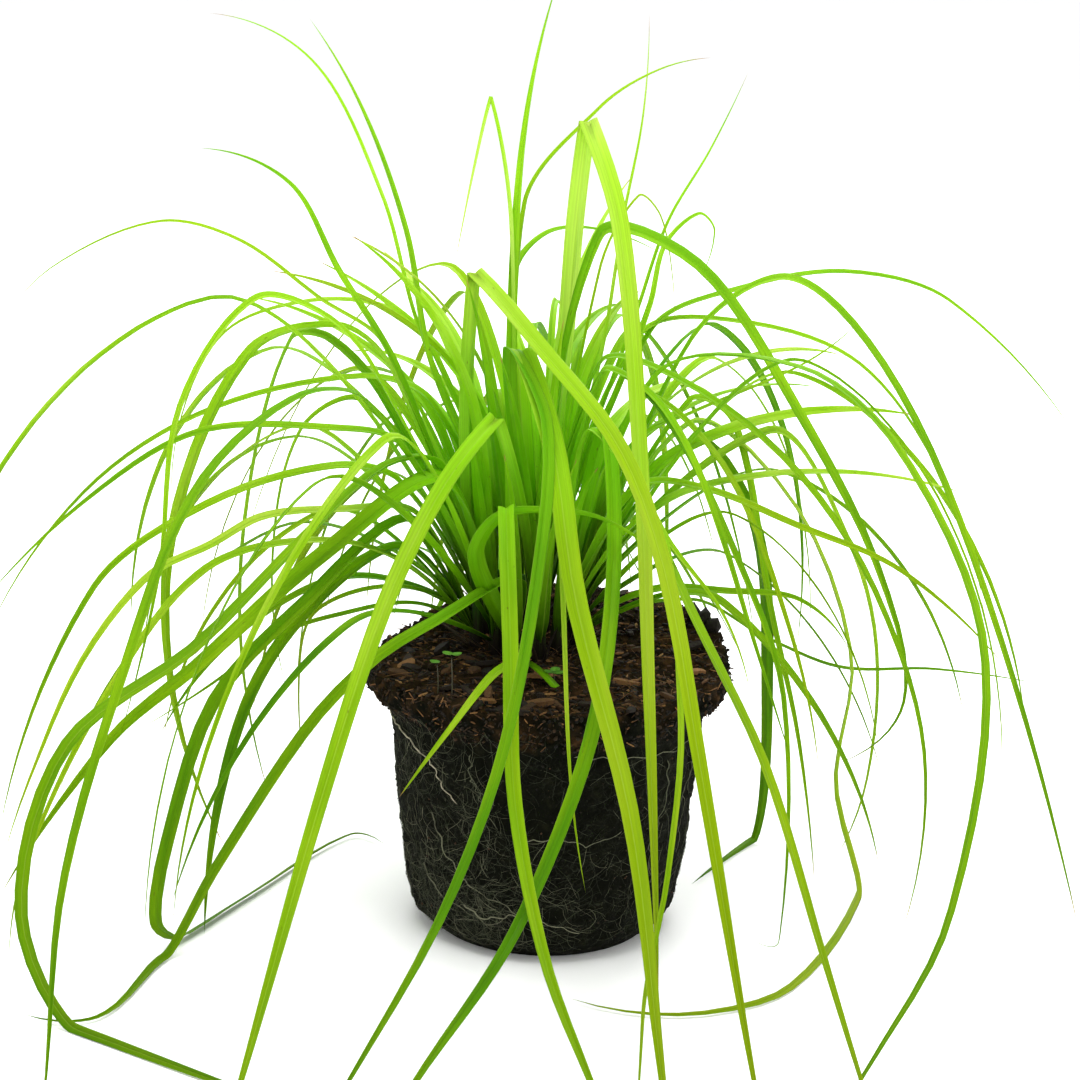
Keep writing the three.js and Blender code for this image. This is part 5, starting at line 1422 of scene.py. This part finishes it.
def root_material():
    nodes = Nodes("root")
    tone, pale, _, _ = nodes.paint()
    patches = nodes.noise(nodes.place(), 260, 3)
    color = nodes.ramp(nodes.times(nodes.plus(tone, pale), 0.5), *ROOT_STOPS)
    color = nodes.blend(nodes.remap(patches, 0.5, 0.72, 0, 0.65), color, ROOT_SOILED)
    return nodes.finish(nodes.surface(color, 0.8, 0.15, patches, 0.4, 0.3))


BARK_STOPS = ((0.05, (0.003, 0.002, 0.001)), (0.4, (0.014, 0.0075, 0.003)), (0.68, (0.065, 0.03, 0.01)),
              (0.88, (0.21, 0.1, 0.034)), (1, (0.4, 0.25, 0.1)))
CRUMB_STOPS = ((0.1, (0.002, 0.0017, 0.0007)), (0.6, (0.01, 0.0065, 0.0026)), (1, (0.055, 0.027, 0.01)))
DRY_STOPS = ((0.1, (0.008, 0.005, 0.0025)), (0.6, (0.03, 0.017, 0.008)), (1, (0.11, 0.075, 0.03)))


def bark_material(name, stops):
    nodes = Nodes(name)
    tone = nodes.paint()[0]
    grain_lines = nodes.noise(nodes.place(), 700, 4, 0.7)
    color = nodes.ramp(nodes.plus(nodes.times(tone, 0.8), nodes.times(grain_lines, 0.25)), *stops)
    return nodes.finish(nodes.surface(color, 0.85, 0.25, grain_lines, 0.7, 0.6))


SEEDLING_STOPS = ((0.3, (0.06, 0.2, 0.012)), (0.7, (0.12, 0.34, 0.02)))
STALK_BROWN = (0.075, 0.07, 0.04)


def seedling_material():
    nodes = Nodes("seedling_green")
    leaf = nodes.paint()[0]
    patches = nodes.noise(nodes.place(), 500, 3)
    green = nodes.ramp(patches, *SEEDLING_STOPS)
    color = nodes.blend(nodes.remap(leaf, 0.3, 0.6), STALK_BROWN, green)
    front = nodes.surface(color, 0.5, 0.5, patches, 0.3, 0.3)
    return nodes.finish(nodes.lit_through(front, color, 0.25))


# ---- Stage, light and camera ----

FLOOR_HALF = 6000
FLOOR_WHITE = (0.97, 0.97, 0.97, 1)
WORLD_STRENGTH = 1.03
CAMERA_SPOT = (-4.2, -904, 388)
CAMERA_PITCH = 15.3
CAMERA_ROLL = 1.6
CAMERA_LENS = 88.87
SENSOR_WIDTH = 36
FARTHEST = 50

# Each lamp's place and aim in millimetres, its width and height and its watts.
LAMPS = {
    "key": ((-100, -350, 1650), (0, 0, 150), (900, 900), 20),
    "fill": ((1100, -900, 700), (0, 0, 120), (1000, 1000), 4),
    "back": ((200, 1300, 1100), (0, 0, 200), (1200, 800), 20),
}


def make_stage():
    mesh = bpy.data.meshes.new("floor")
    corners = [(x * FLOOR_HALF * MM, y * FLOOR_HALF * MM, -0.2 * MM)
               for x, y in ((-1, -1), (1, -1), (1, 1), (-1, 1))]
    mesh.from_pydata(corners, [], [(0, 1, 2, 3)])
    pale = Nodes("floor_pale")
    inputs = {"Base Color": FLOOR_WHITE, "Roughness": 0.9, "Specular IOR Level": 0.1}
    mesh.materials.append(pale.finish(pale.add("BsdfPrincipled", inputs)[0]))
    add_to_scene("floor", mesh)
    world = bpy.data.worlds.new("studio")
    world.use_nodes = True
    background = world.node_tree.nodes["Background"]
    background.inputs[0].default_value = (1, 1, 1, 1)
    background.inputs[1].default_value = WORLD_STRENGTH
    bpy.context.scene.world = world
    bpy.context.scene.view_settings.view_transform = "Standard"


def make_lamps():
    for name, (spot, aim, size, watts) in LAMPS.items():
        light = bpy.data.lights.new(name, "AREA")
        light.shape = "RECTANGLE"
        light.size, light.size_y = size[0] * MM, size[1] * MM
        light.energy = watts
        lamp = add_to_scene(name, light)
        lamp.location = Vector(spot) * MM
        lamp.rotation_euler = (Vector(aim) - Vector(spot)).to_track_quat("-Z", "Y").to_euler()


def make_camera():
    camera = bpy.data.cameras.new("camera")
    camera.lens = CAMERA_LENS
    camera.sensor_width = SENSOR_WIDTH
    camera.clip_end = FARTHEST
    view = add_to_scene("camera", camera)
    tilt = Matrix.Rotation(math.radians(90 - CAMERA_PITCH), 4, "X")
    roll = Matrix.Rotation(math.radians(CAMERA_ROLL), 4, "Z")
    view.matrix_world = Matrix.Translation(Vector(CAMERA_SPOT) * MM) @ tilt @ roll
    bpy.context.scene.camera = view


make_stage()
make_camera()
make_lamps()

green = blade_material()
make_shoots(settled_blades(), [green, sheath_material()])
make_cut_leaf(green)
make_ball(peat_material())
make_roots(root_material())
make_bark(bark_material("bark", BARK_STOPS))
make_crumbs(bark_material("crumb", CRUMB_STOPS))
make_dry_sheaths(bark_material("dry_sheath", DRY_STOPS))
make_seedlings(seedling_material())
